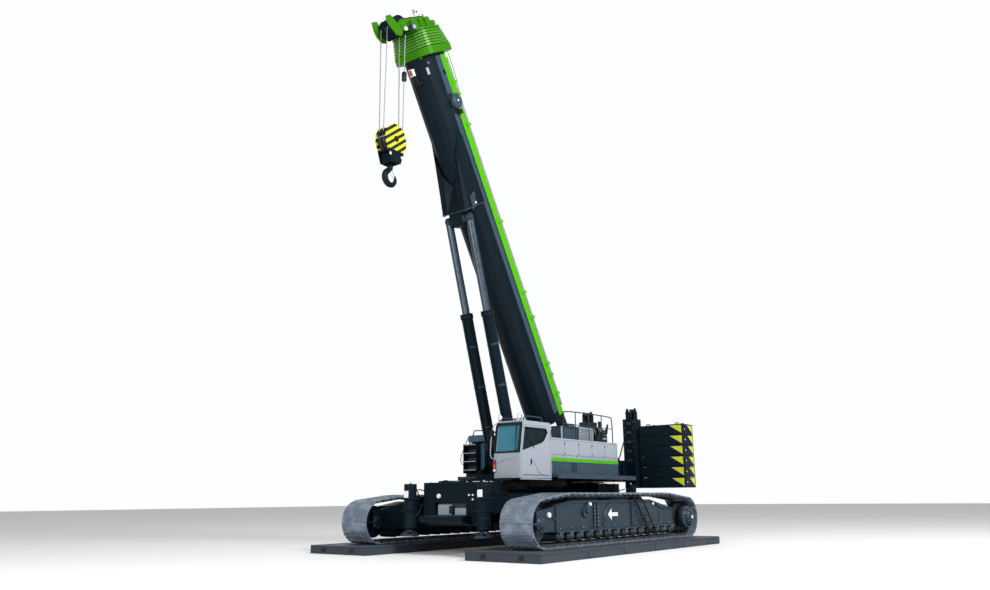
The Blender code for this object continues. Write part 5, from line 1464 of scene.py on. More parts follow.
def build_hook():
    """A forged hook: shank, a bowl thicker below than at its tip, and a sprung safety latch."""
    top = corners("hook")[1].z
    throat = 0.17 * 1.25
    centre = top - 0.88 + 0.17 + 0.13
    path = [
        (0.0, top, 0.062, 0.062), (0.0, top - 0.10, 0.062, 0.062), (0.0, top - 0.13, 0.08, 0.08),
        (0.0, centre + 0.30, 0.085, 0.075),
    ]
    for i in range(25):
        angle = math.radians(60 - 11.25 * i)
        thick = 0.062 + 0.042 * math.sin(math.pi * min(1.0, (i + 4) / 22.0))
        if i > 20:
            thick *= 1.0 - 0.13 * (i - 20)
        path.append((throat * math.cos(angle), centre + throat * math.sin(angle), thick, thick * 0.78))
    rings = []
    for i, (dx, z, deep, wide) in enumerate(path):
        before, after = path[max(i - 1, 0)], path[min(i + 1, len(path) - 1)]
        heading = Vector((after[0] - before[0], after[1] - before[1])).normalized()
        side = Vector((heading.y, -heading.x))
        ring = []
        for k in range(20):
            a = 2 * math.pi * k / 20
            u, v = deep * math.cos(a), wide * math.sin(a)
            ring.append(Vector((HANG_X + dx + side.x * u, v, z + side.y * u)))
        rings.append(ring)
    shape = Shape()
    shape.loft(rings, SLATE, smooth=True)
    shape.lathe(
        (HANG_X, 0, top), (0, 0, -1), [(0, 0.12), (0.04, 0.12), (0.05, 0.095), (0.09, 0.095)],
        SLATE, 28, smooth=False,
    )
    shape.rod((HANG_X + 0.02, -0.06, centre + 0.26), (HANG_X + 0.02, 0.06, centre + 0.26), 0.016, BOLT, 12)
    for y in (-0.05, 0.05):
        shape.tube(
            [
                (HANG_X + 0.02, y, centre + 0.26), (HANG_X - 0.10, y, centre + 0.12),
                (HANG_X - 0.17, y * 0.5, centre + 0.02),
            ],
            0.008, BOLT, 8, 1,
        )
    shape.make("forged_hook", "hook", ("hook",))


def build_falls():
    """Four falls of rope from the head to the block, and the weight that hangs on one of them."""
    head, block = SHEAVE_CENTRE.z, BLOCK_CENTRE.z
    for k, (y, side) in enumerate(((-0.28, 1), (0.02, 1), (-0.02, -1), (0.26, -1))):
        top_x = HANG_X + side * 0.275 + 0.10 * y
        low_x = HANG_X + side * 0.33
        shape = Shape()
        y_low = 0.55 * y
        path = [(top_x, y, head), (low_x, y_low, block)]
        path = [Vector(path[0]).lerp(Vector(path[1]), t) for t in span(0, 1, 30)]
        shape.tube(path, 0.0155, PALE_ROPE, 8, 0)
        rope = shape.make(f"hoist_rope_{k + 1}", None)
        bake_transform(rope)
    shape = Shape()
    x, y, z = HANG_X - 0.30, 0.20, head - 1.72
    shape.lathe(
        (x, y, z), (0, 0, 1), [(0, 0.05), (0.03, 0.075), (0.28, 0.075), (0.31, 0.04), (0.33, 0.02)],
        TRIM, 20,
    )
    shape.tube([(x, y, z + 0.32), (x, y, z + 0.6), (x + 0.02, y, head - 0.5)], 0.008, CHAIN, 6, 0)
    shape.make("limit_weight", "rope_hang", ("hoist_limit_weight",))


build_hook_block()
build_hook()
build_falls()

# ---------------------------------------------------------------- luffing cylinders


BARREL_SKIN = 0.184  # the barrel's painted radius
BAND_LIFT = 0.006
ROD_SKIN = 0.124
GLAND_BORE = 0.1275  # the rod slides in it without touching


def build_cylinder(side, label):
    """Barrel with its gland, bands and hoses; rod with its forked head and chrome shaft."""
    base = Vector((1.40, side * 0.42, 2.62))
    eye = Vector((3.67, side * 0.42, 10.19))
    axis = (eye - base).normalized()
    across_it = Vector((axis.z, 0, -axis.x))
    out = Vector((0, side, 0))
    repaint(SLATE, f"luff_barrel_{label}")
    barrel = Shape()
    barrel.lathe(
        base + axis * 0.42, axis,
        [
            (0, 0.171), (0.02, 0.188), (0.16, 0.188), (0.17, BARREL_SKIN), (4.30, BARREL_SKIN),
            (4.31, 0.192), (4.34, 0.208), (4.425, 0.208), (4.435, 0.18), (4.44, GLAND_BORE),
            (0.50, GLAND_BORE),
        ],
        SLATE, 48,
    )
    for distance in (1.2, 2.5, 3.8):
        barrel.lathe(
            base + axis * distance, axis,
            [(0, 0.180), (0.004, BARREL_SKIN + BAND_LIFT), (0.06, BARREL_SKIN + BAND_LIFT), (0.064, 0.180)],
            LIT_SLATE_AND_TRIM_PAINT, 48, caps=False,
        )
        barrel.slab(
            oblong(-0.035, -0.05, 0.035, 0.05), 0.165, 0.215, SLATE,
            lambda a, b, d, distance=distance: (
                base + axis * (distance + 0.03 + a) + across_it * d + Vector((0, b, 0))
            ),
        )
    bolts = []
    for k in range(12):
        a = 2 * math.pi * k / 12
        bolts.append(base + axis * 4.855 + (across_it * math.cos(a) + out * math.sin(a)) * 0.145)
    barrel.bolts(bolts, axis, 0.014)
    pipe = [
        base + axis * 0.55 + across_it * 0.21, base + axis * 1.2 + across_it * 0.215,
        base + axis * 4.2 + across_it * 0.215, base + axis * 4.72 + across_it * 0.215,
        base + axis * 4.80 + across_it * 0.16,
    ]
    barrel.tube(pipe, 0.017, SLATE, 8, 2)
    barrel.slab(
        oblong(-0.10, -0.08, 0.10, 0.08), 0.16, 0.27, TRIM,
        lambda a, b, d: base + axis * (0.62 + a) + across_it * d + Vector((0, b, 0)), 0.015,
    )
    barrel.make(f"luff_barrel_detail_{label}", f"luff_barrel_{label}")
    rod = Shape()
    length = (eye - base).length
    rod.lathe(base + axis * 3.6, axis, [(0, ROD_SKIN), (length - 3.6 - 0.10, ROD_SKIN)], CHROME, 48)
    rod.lathe(
        eye - out * 0.075, out, [(0, 0.125), (0.02, 0.140), (0.13, 0.140), (0.15, 0.125)],
        LIT_SLATE_AND_TRIM_PAINT, 36,
    )
    rod.lathe(
        eye - out * 0.0, out, [(0.07, 0.09), (0.09, 0.09), (0.095, 0.07), (0.10, 0.02)],
        LIT_SLATE_AND_TRIM_PAINT, 24,
    )
    rod.make(f"luff_rod_detail_{label}", f"luff_rod_{label}", (f"luff_rod_{label}",))


for side, label in SIDES:
    build_cylinder(side, label)

# ---------------------------------------------------------------- upper frame and catwalks


def build_deck():
    repaint(SLATE, "upper_frame", "side_tank", "ballast_carrier")
    shape = Shape()
    for side in (-1, 1):
        for x in span(-4.6, 1.4, 9):
            shape.block((x - 0.02, side * 0.80, 2.13), (x + 0.02, side * 0.90, 2.29), SLATE, 0.006)
        shape.block((-5.0, side * 0.80, 2.12), (1.80, side * 0.905, 2.145), SLATE, 0.006)
        shape.lathe(
            (-1.39, side * 0.722, 3.70), (0, side, 0),
            [(0, 0.30), (0.03, 0.30), (0.035, 0.21), (0.075, 0.21), (0.08, 0.05)], LIT_SLATE_AND_TRIM_PAINT, 36,
        )
        shape.bolts(
            [
                (-1.39 + 0.255 * math.cos(a), side * 0.752, 3.70 + 0.255 * math.sin(a))
                for a in (math.pi * k / 5 for k in range(10))
            ],
            (0, side, 0), 0.018,
        )
        rib = [(-2.6, 2.95), (-1.86, 3.62), (-1.80, 3.58), (-2.5, 2.90)]
        shape.slab(rib, side * 0.715, side * 0.78, SLATE)
        shape.slab(
            [(0.6, 2.72), (-0.95, 3.60), (-1.0, 3.54), (0.5, 2.66)], side * 0.715, side * 0.78,
            SLATE,
        )
        for edge in (-1, 1):
            y = side * 0.42 + edge * 0.195
            shape.lathe(
                (1.40, y, 2.62), (0, edge, 0),
                [(0, 0.13), (0.02, 0.13), (0.03, 0.08), (0.04, 0.03)], BOLT, 24,
            )
    shape.block((-0.30, -0.52, 2.30), (0.75, 0.52, 2.42), SLATE, 0.02)
    shape.lathe(
        (0.45, 0.0, 2.42), (0, 0, 1),
        [(0, 0.22), (0.05, 0.22), (0.06, 0.16), (0.22, 0.16), (0.23, 0.10)], GREY, 28,
    )
    for y in (-0.35, 0.35):
        shape.lathe(
            (-0.05, y, 2.42), (0, 0, 1), [(0, 0.15), (0.26, 0.15), (0.28, 0.10), (0.36, 0.09)],
            TRIM, 24,
        )
        shape.tube(
            [(-0.05, y, 2.74), (0.10, y * 0.9, 2.86), (0.45, y * 0.6, 2.78), (0.45, y * 0.35, 2.62)],
            0.028, RUBBER, 8,
        )
    for y in (-0.12, 0.0, 0.12):
        shape.tube(
            [(0.55, y, 2.44), (0.95, y, 2.58), (1.30, y * 2.0, 2.44), (1.78, y * 2.4, 2.32)], 0.022,
            RUBBER, 8,
        )
    for y in (0.94, 1.06, 1.18):
        shape.tube(
            [
                (0.55, y - 0.4, 2.16), (0.75, y, 2.10), (1.00, y + 0.1, 2.08), (1.25, y, 2.14),
                (1.45, y - 0.2, 2.12),
            ],
            0.022, RUBBER, 8,
        )
    shape.make("deck_gear", "upper")


def build_catwalks():
    for side, label in SIDES:
        low, high = corners(f"catwalk_{label}")
        repaint(MAT_SIDE, f"catwalk_{label}")
        shape = Shape()
        out = high.y if side > 0 else low.y
        shape.block(
            (low.x, out - side * 0.012, low.z - 0.045),
            (high.x, out + side * 0.010, high.z + 0.012), GREY, 0.004,
        )
        for x in span(low.x + 0.1, high.x - 0.1, 44):
            shape.block(
                (x - 0.010, out - side * 0.30, high.z),
                (x + 0.010, out - side * 0.02, high.z + 0.008), MAT_TOP, 0.002,
            )
        for x in span(low.x + 0.3, high.x - 0.3, 7):
            shape.slab(
                [
                    (out - side * 0.04, low.z - 0.04), (out - side * 0.34, low.z - 0.002),
                    (out - side * 0.34, low.z - 0.10),
                ],
                x - 0.015, x + 0.015, SLATE, lambda a, b, d: (d, a, b),
            )
            shape.bolts([(x, out + side * 0.010, low.z + 0.01)], (0, side, 0), 0.014)
        shape.make(f"catwalk_edge_{label}", "upper")


build_deck()
build_catwalks()

# ---------------------------------------------------------------- housing, tank and roof


def build_housing():
    low, high = corners("machinery_housing")
    repaint(PALE, "machinery_housing", *[f"housing_door_{k}" for k in range(1, 6)])
    out = high.y
    shape = Shape()
    shape.block((low.x + 0.004, out - 0.004, 2.668), (high.x - 0.004, out + 0.006, 2.775), LIME, 0.002)
    shape.block((low.x + 0.004, out - 0.004, 2.656), (high.x - 0.004, out + 0.0065, 2.668), NAVY, 0.001)
    shape.block(
        (low.x + 0.002, out - 0.004, low.z + 0.004), (high.x - 0.002, out + 0.005, 2.656),
        BAND_PAINT, 0.003,
    )
    shape.block(
        (high.x - 0.004, 0.842, low.z + 0.004), (high.x + 0.005, out + 0.003, 2.656), BAND_PAINT,
        0.003,
    )
    shape.block((high.x - 0.004, 0.842, 2.668), (high.x + 0.006, out + 0.004, 2.775), LIME, 0.002)
    shape.block(
        (low.x - 0.005, 0.842, low.z + 0.004), (low.x + 0.004, out + 0.003, 2.656), BAND_PAINT,
        0.003,
    )
    shape.block((low.x - 0.006, 0.842, 2.668), (low.x + 0.004, out + 0.004, 2.775), LIME, 0.002)
    for x in (0.98, -0.40, -0.95, -1.62):
        shape.block(
            (x - 0.010, out + 0.004, low.z + 0.03), (x + 0.010, out + 0.012, 2.640), BAND_PAINT,
            0.003,
        )
    shape.block((0.55, out + 0.003, low.z + 0.10), (0.75, out + 0.020, 2.58), BAND_PAINT, 0.008)
    for k in range(5):
        shape.block(
            (0.10 - 0.02, out + 0.003, low.z + 0.10 + 0.06 * k),
            (-0.25, out + 0.014, low.z + 0.125 + 0.06 * k), SLATE, 0.003,
        )
    shape.block((low.x - 0.006, 0.85, 2.80), (low.x + 0.004, out - 0.02, 3.34), PALE, 0.006)
    for y in span(0.95, 1.52, 9):
        shape.block((low.x - 0.014, y - 0.02, 2.86), (low.x + 0.0, y + 0.02, 3.28), TRIM, 0.004)
    shape.block(
        (low.x + 0.01, out - 0.05, high.z - 0.002), (high.x - 0.01, out - 0.01, high.z + 0.012),
        PALE, 0.005,
    )
    shape.make("housing_trim", "upper")
    for k in range(1, 6):
        door_low, door_high = corners(f"housing_door_{k}")
        face = door_high.y
        door = Shape()
        middle = (door_low.x + door_high.x) / 2
        door.block(
            (door_low.x + 0.05, face - 0.002, door_low.z + 0.10),
            (door_high.x - 0.05, face + 0.004, door_high.z - 0.05), PALE, 0.003,
        )
        door.block(
            (door_low.x + 0.10, face + 0.003, door_low.z + 0.035),
            (door_low.x + 0.145, face + 0.014, door_low.z + 0.085), TRIM, 0.006,
        )
        door.rod(
            (door_low.x + 0.122, face + 0.010, door_low.z + 0.06),
            (door_low.x + 0.122, face + 0.020, door_low.z + 0.06), 0.014, BOLT, 12,
        )
        door.block(
            (door_low.x + 0.20, face - 0.001, door_low.z + 0.058),
            (door_high.x - 0.10, face + 0.005, door_low.z + 0.068), GREY, 0.002,
        )
        for z in (door_low.z + 0.10, door_high.z - 0.10):
            door.block(
                (door_high.x - 0.045, face - 0.001, z - 0.035),
                (door_high.x - 0.005, face + 0.010, z + 0.035), GREY, 0.004,
            )
        if k == 5:
            door.block(
                (middle - 0.10, face + 0.003, door_high.z - 0.12),
                (middle - 0.03, face + 0.008, door_high.z - 0.06), YELLOW, 0.002,
            )
        door.make(f"housing_door_panel_{k}", f"housing_door_{k}")


def build_roof_gear():
    repaint(GREY, "control_cabinet")
    repaint(PALE, "cooler")
    repaint(TRIM, "exhaust_silencer")
    repaint(GREY, "roof_handrail")
    repaint(SLATE, "engine")
    low, high = corners("control_cabinet")
    shape = Shape()
    shape.block(
        (low.x + 0.05, high.y - 0.004, low.z + 0.04),
        (high.x - 0.05, high.y + 0.012, high.z - 0.04), GREY, 0.008,
    )
    shape.block(
        (low.x + 0.10, high.y + 0.010, low.z + 0.18), (low.x + 0.14, high.y + 0.028, low.z + 0.26),
        TRIM, 0.005,
    )
    shape.block(
        (low.x - 0.04, low.y - 0.02, high.z - 0.006),
        (high.x + 0.03, high.y + 0.03, high.z + 0.016), GREY, 0.006,
    )
    shape.block((high.x + 0.0, high.y - 0.03, low.z), (high.x + 0.05, high.y + 0.02, high.z), PALE, 0.01)
    shape.block(
        (low.x - 0.05, high.y - 0.03, low.z), (low.x - 0.0, high.y + 0.01, high.z - 0.02), TRIM,
        0.01,
    )
    low, high = corners("cooler")
    for k in range(9):
        z = low.z + 0.035 + 0.048 * k
        shape.slab(
            [
                (high.y - 0.004, z), (high.y + 0.034, z - 0.014), (high.y + 0.036, z - 0.004),
                (high.y - 0.004, z + 0.022),
            ],
            low.x + 0.03, high.x - 0.03, PALE, lambda a, b, d: (d, a, b), 0.002,
        )
    for x in (low.x, high.x - 0.03):
        shape.block((x, high.y - 0.004, low.z), (x + 0.03, high.y + 0.038, high.z), PALE, 0.006)
    for k in range(9):
        z = low.z + 0.035 + 0.048 * k
        shape.block(
            (low.x - 0.02, low.y + 0.04, z - 0.008), (low.x + 0.002, high.y - 0.04, z + 0.012),
            GREY, 0.003,
        )
    shape.lathe(
        (-1.34, 1.14, high.z), (0, 0, 1), [(0, 0.19), (0.02, 0.20), (0.03, 0.17), (0.035, 0.03)],
        TRIM, 32,
    )
    low, high = corners("exhaust_silencer")
    for x in (-2.66, -2.44, -2.22, -2.02):
        shape.lathe(
            (x, 1.16, 3.72), (1, 0, 0),
            [(0, 0.190), (0.004, 0.198), (0.032, 0.198), (0.036, 0.190)], BOLT, 36,
        )
    shape.lathe(
        (-1.98, 1.16, 3.72), (1, 0, 0),
        [(-0.002, 0.185), (0.05, 0.16), (0.09, 0.10), (0.095, 0.02)], GREY, 32,
    )
    shape.lathe((-2.62, 1.16, 4.13), (0, 0, 1), [(0, 0.062), (0.012, 0.072), (0.022, 0.066)], BOLT, 24)
    shape.lathe(
        (-2.30, 1.48, 3.385), (0, 0, 1),
        [(0, 0.13), (0.24, 0.13), (0.30, 0.115), (0.34, 0.07), (0.355, 0.02)], TRIM, 32,
    )
    shape.lathe(
        (-2.30, 1.48, 3.385), (0, 0, 1),
        [(0.10, 0.131), (0.105, 0.136), (0.14, 0.136), (0.145, 0.131)], BOLT, 32,
    )
    shape.block((-2.12, 1.20, 3.385), (-1.84, 1.52, 3.62), TRIM, 0.02)
    shape.tube(
        [(-2.30, 1.40, 3.62), (-2.05, 1.30, 3.92), (-1.80, 1.18, 3.86), (-1.74, 1.14, 3.60)], 0.055,
        RUBBER, 14,
    )
    shape.tube(
        [
            (-2.0, 1.50, 3.60), (-1.9, 1.52, 3.86), (-1.55, 1.40, 4.00), (-1.20, 1.34, 3.96),
            (-1.0, 1.30, 3.84),
        ],
        0.030, RUBBER, 10,
    )
    shape.tube(
        [
            (-2.60, 1.10, 3.42), (-2.78, 1.20, 3.62), (-2.84, 1.34, 3.96), (-2.66, 1.46, 4.05),
            (-2.50, 1.50, 3.70),
        ],
        0.034, RUBBER, 10,
    )
    for k, x in enumerate((-1.02, -1.14, -1.60)):
        shape.tube(
            [(x, 1.38, 3.86), (x - 0.04, 1.42, 4.02), (x - 0.20, 1.44, 4.03), (x - 0.30, 1.46, 3.90)],
            0.020, RUBBER, 8,
        )
    shape.block((-2.90, 0.90, 3.385), (-2.72, 1.30, 3.60), SLATE, 0.02)
    shape.bolts([(x, y, 3.381) for x in span(-2.8, 1.2, 12) for y in (0.88, 1.61)], (0, 0, 1), 0.012)
    shape.make("roof_gear", "upper")
    rail = Shape()
    top, y = 4.30, 1.53
    path = [
        (0.28, y, 3.40), (0.28, y, top - 0.10), (0.20, y, top), (-2.70, y, top),
        (-2.85, y, top - 0.08), (-2.85, y, 3.40),
    ]
    rail.tube(path, 0.019, LIT_SLATE_AND_TRIM_PAINT, 10, 2)
    rail.tube([(0.27, y, top - 0.42), (-2.85, y, top - 0.42)], 0.013, LIT_SLATE_AND_TRIM_PAINT, 8, 0)
    for x in span(-2.12, -0.45, 3):
        rail.rod((x, y, 3.39), (x, y, top), 0.017, LIT_SLATE_AND_TRIM_PAINT, 10)
    for x in (0.28, -0.45, -1.285, -2.12, -2.85):
        rail.block((x - 0.04, y - 0.04, 3.382), (x + 0.04, y + 0.04, 3.395), LIT_SLATE_AND_TRIM_PAINT, 0.003)
    rail.make("handrail_tubes", "upper", ("roof_handrail",))


def build_tank():
    low, high = corners("side_tank")
    front = 1.33
    shape = Shape()
    shape.block((front - 0.004, -1.62, 2.95), (front + 0.012, -0.88, 3.03), LIT_SLATE_AND_TRIM_PAINT, 0.006)
    shape.slab(
        oblong(-1.60, 3.04, -0.90, 3.30), front - 0.22, front - 0.002, LIT_SLATE_AND_TRIM_PAINT,
        lambda a, b, d: (d, a, b), 0.03,
    )
    shape.slab(
        oblong(-1.60, 2.30, -0.90, 2.94), front - 0.01, front + 0.010, LIT_SLATE_AND_TRIM_PAINT,
        lambda a, b, d: (d, a, b), 0.01,
    )
    for i in range(4):
        z = 2.42 + 0.27 * i
        shape.block((front + 0.0, -1.545, z + 0.036), (front + 0.235, -1.055, z + 0.052), WHITE, 0.004)
        for y in span(-1.50, -1.10, 7):
            shape.block(
                (front + 0.02, y - 0.008, z + 0.050), (front + 0.225, y + 0.008, z + 0.060), PALE,
                0.002,
            )
        shape.slab([(front, z - 0.10), (front + 0.20, z), (front, z)], -1.53, -1.07, TRIM, None, 0.004)
    shape.rod((0.3, -1.25, 3.375), (0.3, -1.25, 3.44), 0.09, TRIM, 24)
    shape.tube(
        [
            (1.15, -1.50, 3.30), (1.10, -1.52, 3.72), (0.95, -1.54, 3.80), (-0.6, -1.54, 3.80),
            (-0.72, -1.54, 3.74), (-0.72, -1.54, 3.38),
        ],
        0.018, LIT_SLATE_AND_TRIM_PAINT, 10, 2,
    )
    shape.tube(
        [(1.38, -1.56, 2.60), (1.42, -1.58, 3.10), (1.20, -1.56, 3.45), (1.05, -1.54, 3.70)], 0.014,
        LIT_SLATE_AND_TRIM_PAINT, 8, 2,
    )
    for x in (0.2, -0.9, -2.0):
        shape.block((x - 0.02, -1.66, 2.30), (x + 0.02, -1.648, 3.34), LIT_SLATE_AND_TRIM_PAINT, 0.004)
    shape.block((0.70, -1.63, 3.375), (front - 0.06, -0.90, 3.60), TANK_PAINT, 0.03)
    shape.block((front - 0.10, -1.64, 2.30), (front + 0.014, -1.57, 3.30), TANK_PAINT, 0.008)
    shape.block((front - 0.10, -1.02, 2.30), (front + 0.014, -0.86, 3.30), TANK_PAINT, 0.008)
    shape.tube(
        [
            (1.22, -1.60, 3.60), (1.36, -1.66, 3.30), (1.56, -1.68, 2.90), (1.60, -1.66, 2.70),
            (1.34, -1.60, 2.55),
        ],
        0.012, LIT_SLATE_AND_TRIM_PAINT, 8, 2,
    )
    shape.make("tank_steps", "upper")


build_housing()
build_roof_gear()
build_tank()

# ---------------------------------------------------------------- cab


def build_cab():
    repaint(PALE, "cab_shell", "cab_door")
    repaint(GLASS, "windscreen", "cab_side_glass")
    repaint(DARK_GLASS, "cab_door_glass")
    repaint(CLOTH, "operator_seat")
    repaint(TRIM, "cab_console")
    front, brow, roof_front, roof = 3.02, 2.86, 2.86, 3.79
    right, left = 0.82, 1.78
    lean = (roof_front - front) / (roof - brow)

    def screen_x(z):
        return front + lean * max(0.0, z - brow)

    def on_screen(z, y, depth):
        return screen_x(z) + depth, y, z

    shape = Shape()
    for y in (right + 0.035, left - 0.035):
        shape.slab(
            oblong(brow + 0.02, y - 0.052, roof - 0.10, y + 0.034), -0.004, 0.016, TRIM, on_screen,
            0.003,
        )
    shape.slab(
        oblong(brow + 0.0, right + 0.01, brow + 0.05, left - 0.01), -0.004, 0.014, TRIM, on_screen,
        0.003,
    )
    shape.slab(
        oblong(roof - 0.125, right + 0.01, roof - 0.03, left - 0.01), -0.004, 0.014, TRIM,
        on_screen, 0.003,
    )
    shape.block((1.40, right + 0.03, roof - 0.002), (2.84, left - 0.03, roof + 0.022), PALE, 0.015)
    shape.block((1.55, right + 0.12, roof + 0.018), (2.35, left - 0.12, roof + 0.034), PALE, 0.012)
    shape.block((front - 0.004, right + 0.05, 2.20), (front + 0.008, left - 0.04, 2.84), PALE, 0.010)
    crease = [
        (front + 0.012, right + 0.10, 2.60), (front + 0.012, 1.10, 2.60),
        (front + 0.012, 1.26, 2.70), (front + 0.012, left - 0.10, 2.72),
    ]
    shape.tube(crease, 0.010, PALE, 8, 2)
    shape.block((front - 0.01, right - 0.012, 2.30), (front + 0.035, right + 0.085, 2.66), TRIM, 0.012)
    shape.block(
        (front + 0.030, right - 0.006, 2.545), (front + 0.045, right + 0.078, 2.645), RED_LENS,
        0.008,
    )
    shape.block(
        (front + 0.030, right - 0.006, 2.425), (front + 0.045, right + 0.078, 2.535), AMBER_LENS,
        0.008,
    )
    shape.block(
        (front + 0.030, right - 0.006, 2.325), (front + 0.045, right + 0.078, 2.405), CLEAR_LENS,
        0.008,
    )
    shape.block((front - 0.01, right + 0.10, 2.06), (front + 0.02, left - 0.30, 2.145), TRIM, 0.010)
    shape.block((1.45, left - 0.06, 2.085), (2.98, left + 0.035, 2.125), PALE, 0.010)
    shape.block((1.42, left - 0.04, 2.145), (2.20, left + 0.022, 2.165), PALE, 0.005)
    for y in (0.95, 1.66):
        base = Vector((roof_front - 0.02, y, roof + 0.02))
        shape.rod(base, base + Vector((0, 0, 0.07)), 0.012, TRIM, 8)
        shape.lathe(
            base + Vector((-0.05, 0, 0.12)), (1, 0, -0.1),
            [(0, 0.03), (0.015, 0.06), (0.07, 0.085), (0.085, 0.085)], TRIM, 28,
        )
        shape.lathe(
            base + Vector((0.034, 0, 0.112)), (1, 0, -0.1),
            [(0, 0.078), (0.012, 0.07), (0.018, 0.03)], CLEAR_LENS, 28,
        )
    shape.tube(
        [
            (2.74, left - 0.05, roof + 0.02), (2.74, left - 0.05, roof + 0.12),
            (2.60, left - 0.03, roof + 0.15), (1.95, left - 0.03, roof + 0.15),
            (1.80, left - 0.04, roof + 0.13), (1.80, left - 0.05, roof + 0.02),
        ],
        0.020, LIT_SLATE_AND_TRIM_PAINT, 10, 2,
    )
    shape.tube(
        [
            (2.74, right + 0.05, roof + 0.02), (2.74, right + 0.05, roof + 0.12),
            (2.60, right + 0.05, roof + 0.15), (1.95, right + 0.05, roof + 0.15),
            (1.80, right + 0.05, roof + 0.02),
        ],
        0.016, LIT_SLATE_AND_TRIM_PAINT, 10, 2,
    )
    shape.tube(
        [
            (2.80, right + 0.02, roof + 0.05), (2.82, right + 0.3, roof + 0.07),
            (2.82, left - 0.3, roof + 0.07), (2.80, left - 0.02, roof + 0.05),
        ],
        0.014, TRIM, 8, 1,
    )
    wiper = (screen_x(2.96) + 0.03, 1.62, 2.96)
    shape.lathe(
        (screen_x(2.93), 1.62, 2.93), (1, 0, 0), [(0, 0.035), (0.03, 0.03), (0.034, 0.01)], TRIM,
        16,
    )
    shape.tube(
        [wiper, (screen_x(3.30) + 0.035, 1.58, 3.30), (screen_x(3.55) + 0.02, 1.57, 3.55)], 0.010,
        TRIM, 8, 1,
    )
    shape.slab(
        [(3.20, 1.560), (3.66, 1.555), (3.66, 1.575), (3.20, 1.580)], 0.004, 0.022, TRIM, on_screen,
        0.002,
    )
    for z0, z1, y in ((2.70, 3.74, right - 0.14),):
        shape.tube(
            [
                (2.98, right, z0), (3.02, y, z0 + 0.02), (3.00, y, z0 + 0.5), (2.86, y, z1),
                (2.80, right, z1),
            ],
            0.014, PALE, 8, 2,
        )
    for z, size in ((3.48, 0.13), (3.18, 0.16)):
        shape.block((2.93, right - 0.205, z - size), (2.97, right - 0.055, z + size * 0.7), TRIM, 0.02)
        shape.block(
            (2.925, right - 0.195, z - size + 0.015),
            (2.932, right - 0.065, z + size * 0.7 - 0.015), CHROME, 0.003,
        )
        shape.rod((2.95, right - 0.06, z), (2.95, right + 0.01, z), 0.012, TRIM, 8)
    shape.make("cab_fittings", "upper")
    inside = Shape()
    inside.block((1.75, 1.00, 2.62), (2.30, 1.07, 2.84), TRIM, 0.02)
    inside.block((1.75, 1.55, 2.62), (2.30, 1.62, 2.84), TRIM, 0.02)
    for y in (1.035, 1.585):
        inside.tube([(2.22, y, 2.82), (2.24, y, 2.98), (2.22, y, 3.02)], 0.016, RUBBER, 8, 1)
        inside.lathe(
            (2.22, y, 3.0), (0, 0, 1), [(0, 0.015), (0.03, 0.026), (0.07, 0.022), (0.08, 0.008)],
            TRIM, 16,
        )
    inside.slab(
        [(1.60, 1.18), (1.60, 1.44), (1.68, 1.46), (1.72, 1.42), (1.72, 1.20), (1.68, 1.16)], 3.24,
        3.44, CLOTH, lambda a, b, d: (a, b, d), 0.03,
    )
    inside.block((2.70, 1.12, 2.92), (2.74, 1.44, 3.12), TRIM, 0.012)
    inside.block((2.695, 1.14, 2.94), (2.702, 1.42, 3.10), GLASS, 0.002)
    inside.tube([(2.78, 1.62, 2.60), (2.79, 1.66, 3.0), (2.74, 1.66, 3.5)], 0.014, TRIM, 8, 1)
    inside.tube(
        [(2.0, 1.66, 3.30), (2.30, 1.68, 3.22), (2.62, 1.67, 3.10), (2.72, 1.66, 3.02)], 0.014,
        PALE, 8, 1,
    )
    inside.make("cab_interior_gear", "upper")


def build_cab_door():
    face = 1.78
    door = Shape()
    window = [(2.88, 2.95), (2.76, 3.60), (1.68, 3.60), (1.60, 3.51), (1.78, 3.27), (1.90, 3.20)]
    edge = []
    for x, z in window:
        edge.append(Vector((x, face + 0.004, z)))
    for a, b in zip(edge, edge[1:] + edge[:1]):
        reach = (b - a).normalized() * 0.018
        door.tube([a - reach, b + reach], 0.017, TRIM, 8, 0)
    door.slab(
        [(2.46, 2.52), (2.50, 2.50), (2.50, 2.68), (2.46, 2.70)], face - 0.002, face + 0.010, TRIM,
        None, 0.004,
    )
    door.tube(
        [
            (2.48, face + 0.010, 2.53), (2.485, face + 0.035, 2.56), (2.485, face + 0.035, 2.65),
            (2.48, face + 0.010, 2.68),
        ],
        0.011, RUBBER, 8, 1,
    )
    ridge = [
        (2.36, face + 0.003, 2.64), (2.24, face + 0.004, 2.52), (2.12, face + 0.004, 2.34),
        (2.00, face + 0.003, 2.26), (1.56, face + 0.003, 2.24),
    ]
    door.tube(ridge, 0.014, PALE, 8, 2)
    door.block((1.56, face - 0.002, 2.222), (2.88, face + 0.006, 2.236), GREY, 0.002)
    door.slab(
        [(1.84, 3.62), (2.86, 3.62), (2.88, 3.655), (1.70, 3.655)], face - 0.002, face + 0.014,
        PALE, None, 0.005,
    )
    door.tube(
        [(2.30, face + 0.008, 3.0), (2.38, face + 0.014, 3.10), (2.62, face + 0.014, 3.34)], 0.010,
        TRIM, 8, 1,
    )
    door.make("cab_door_fittings", "cab_door")


build_cab()
build_cab_door()

# ---------------------------------------------------------------- winch, ballast and masts


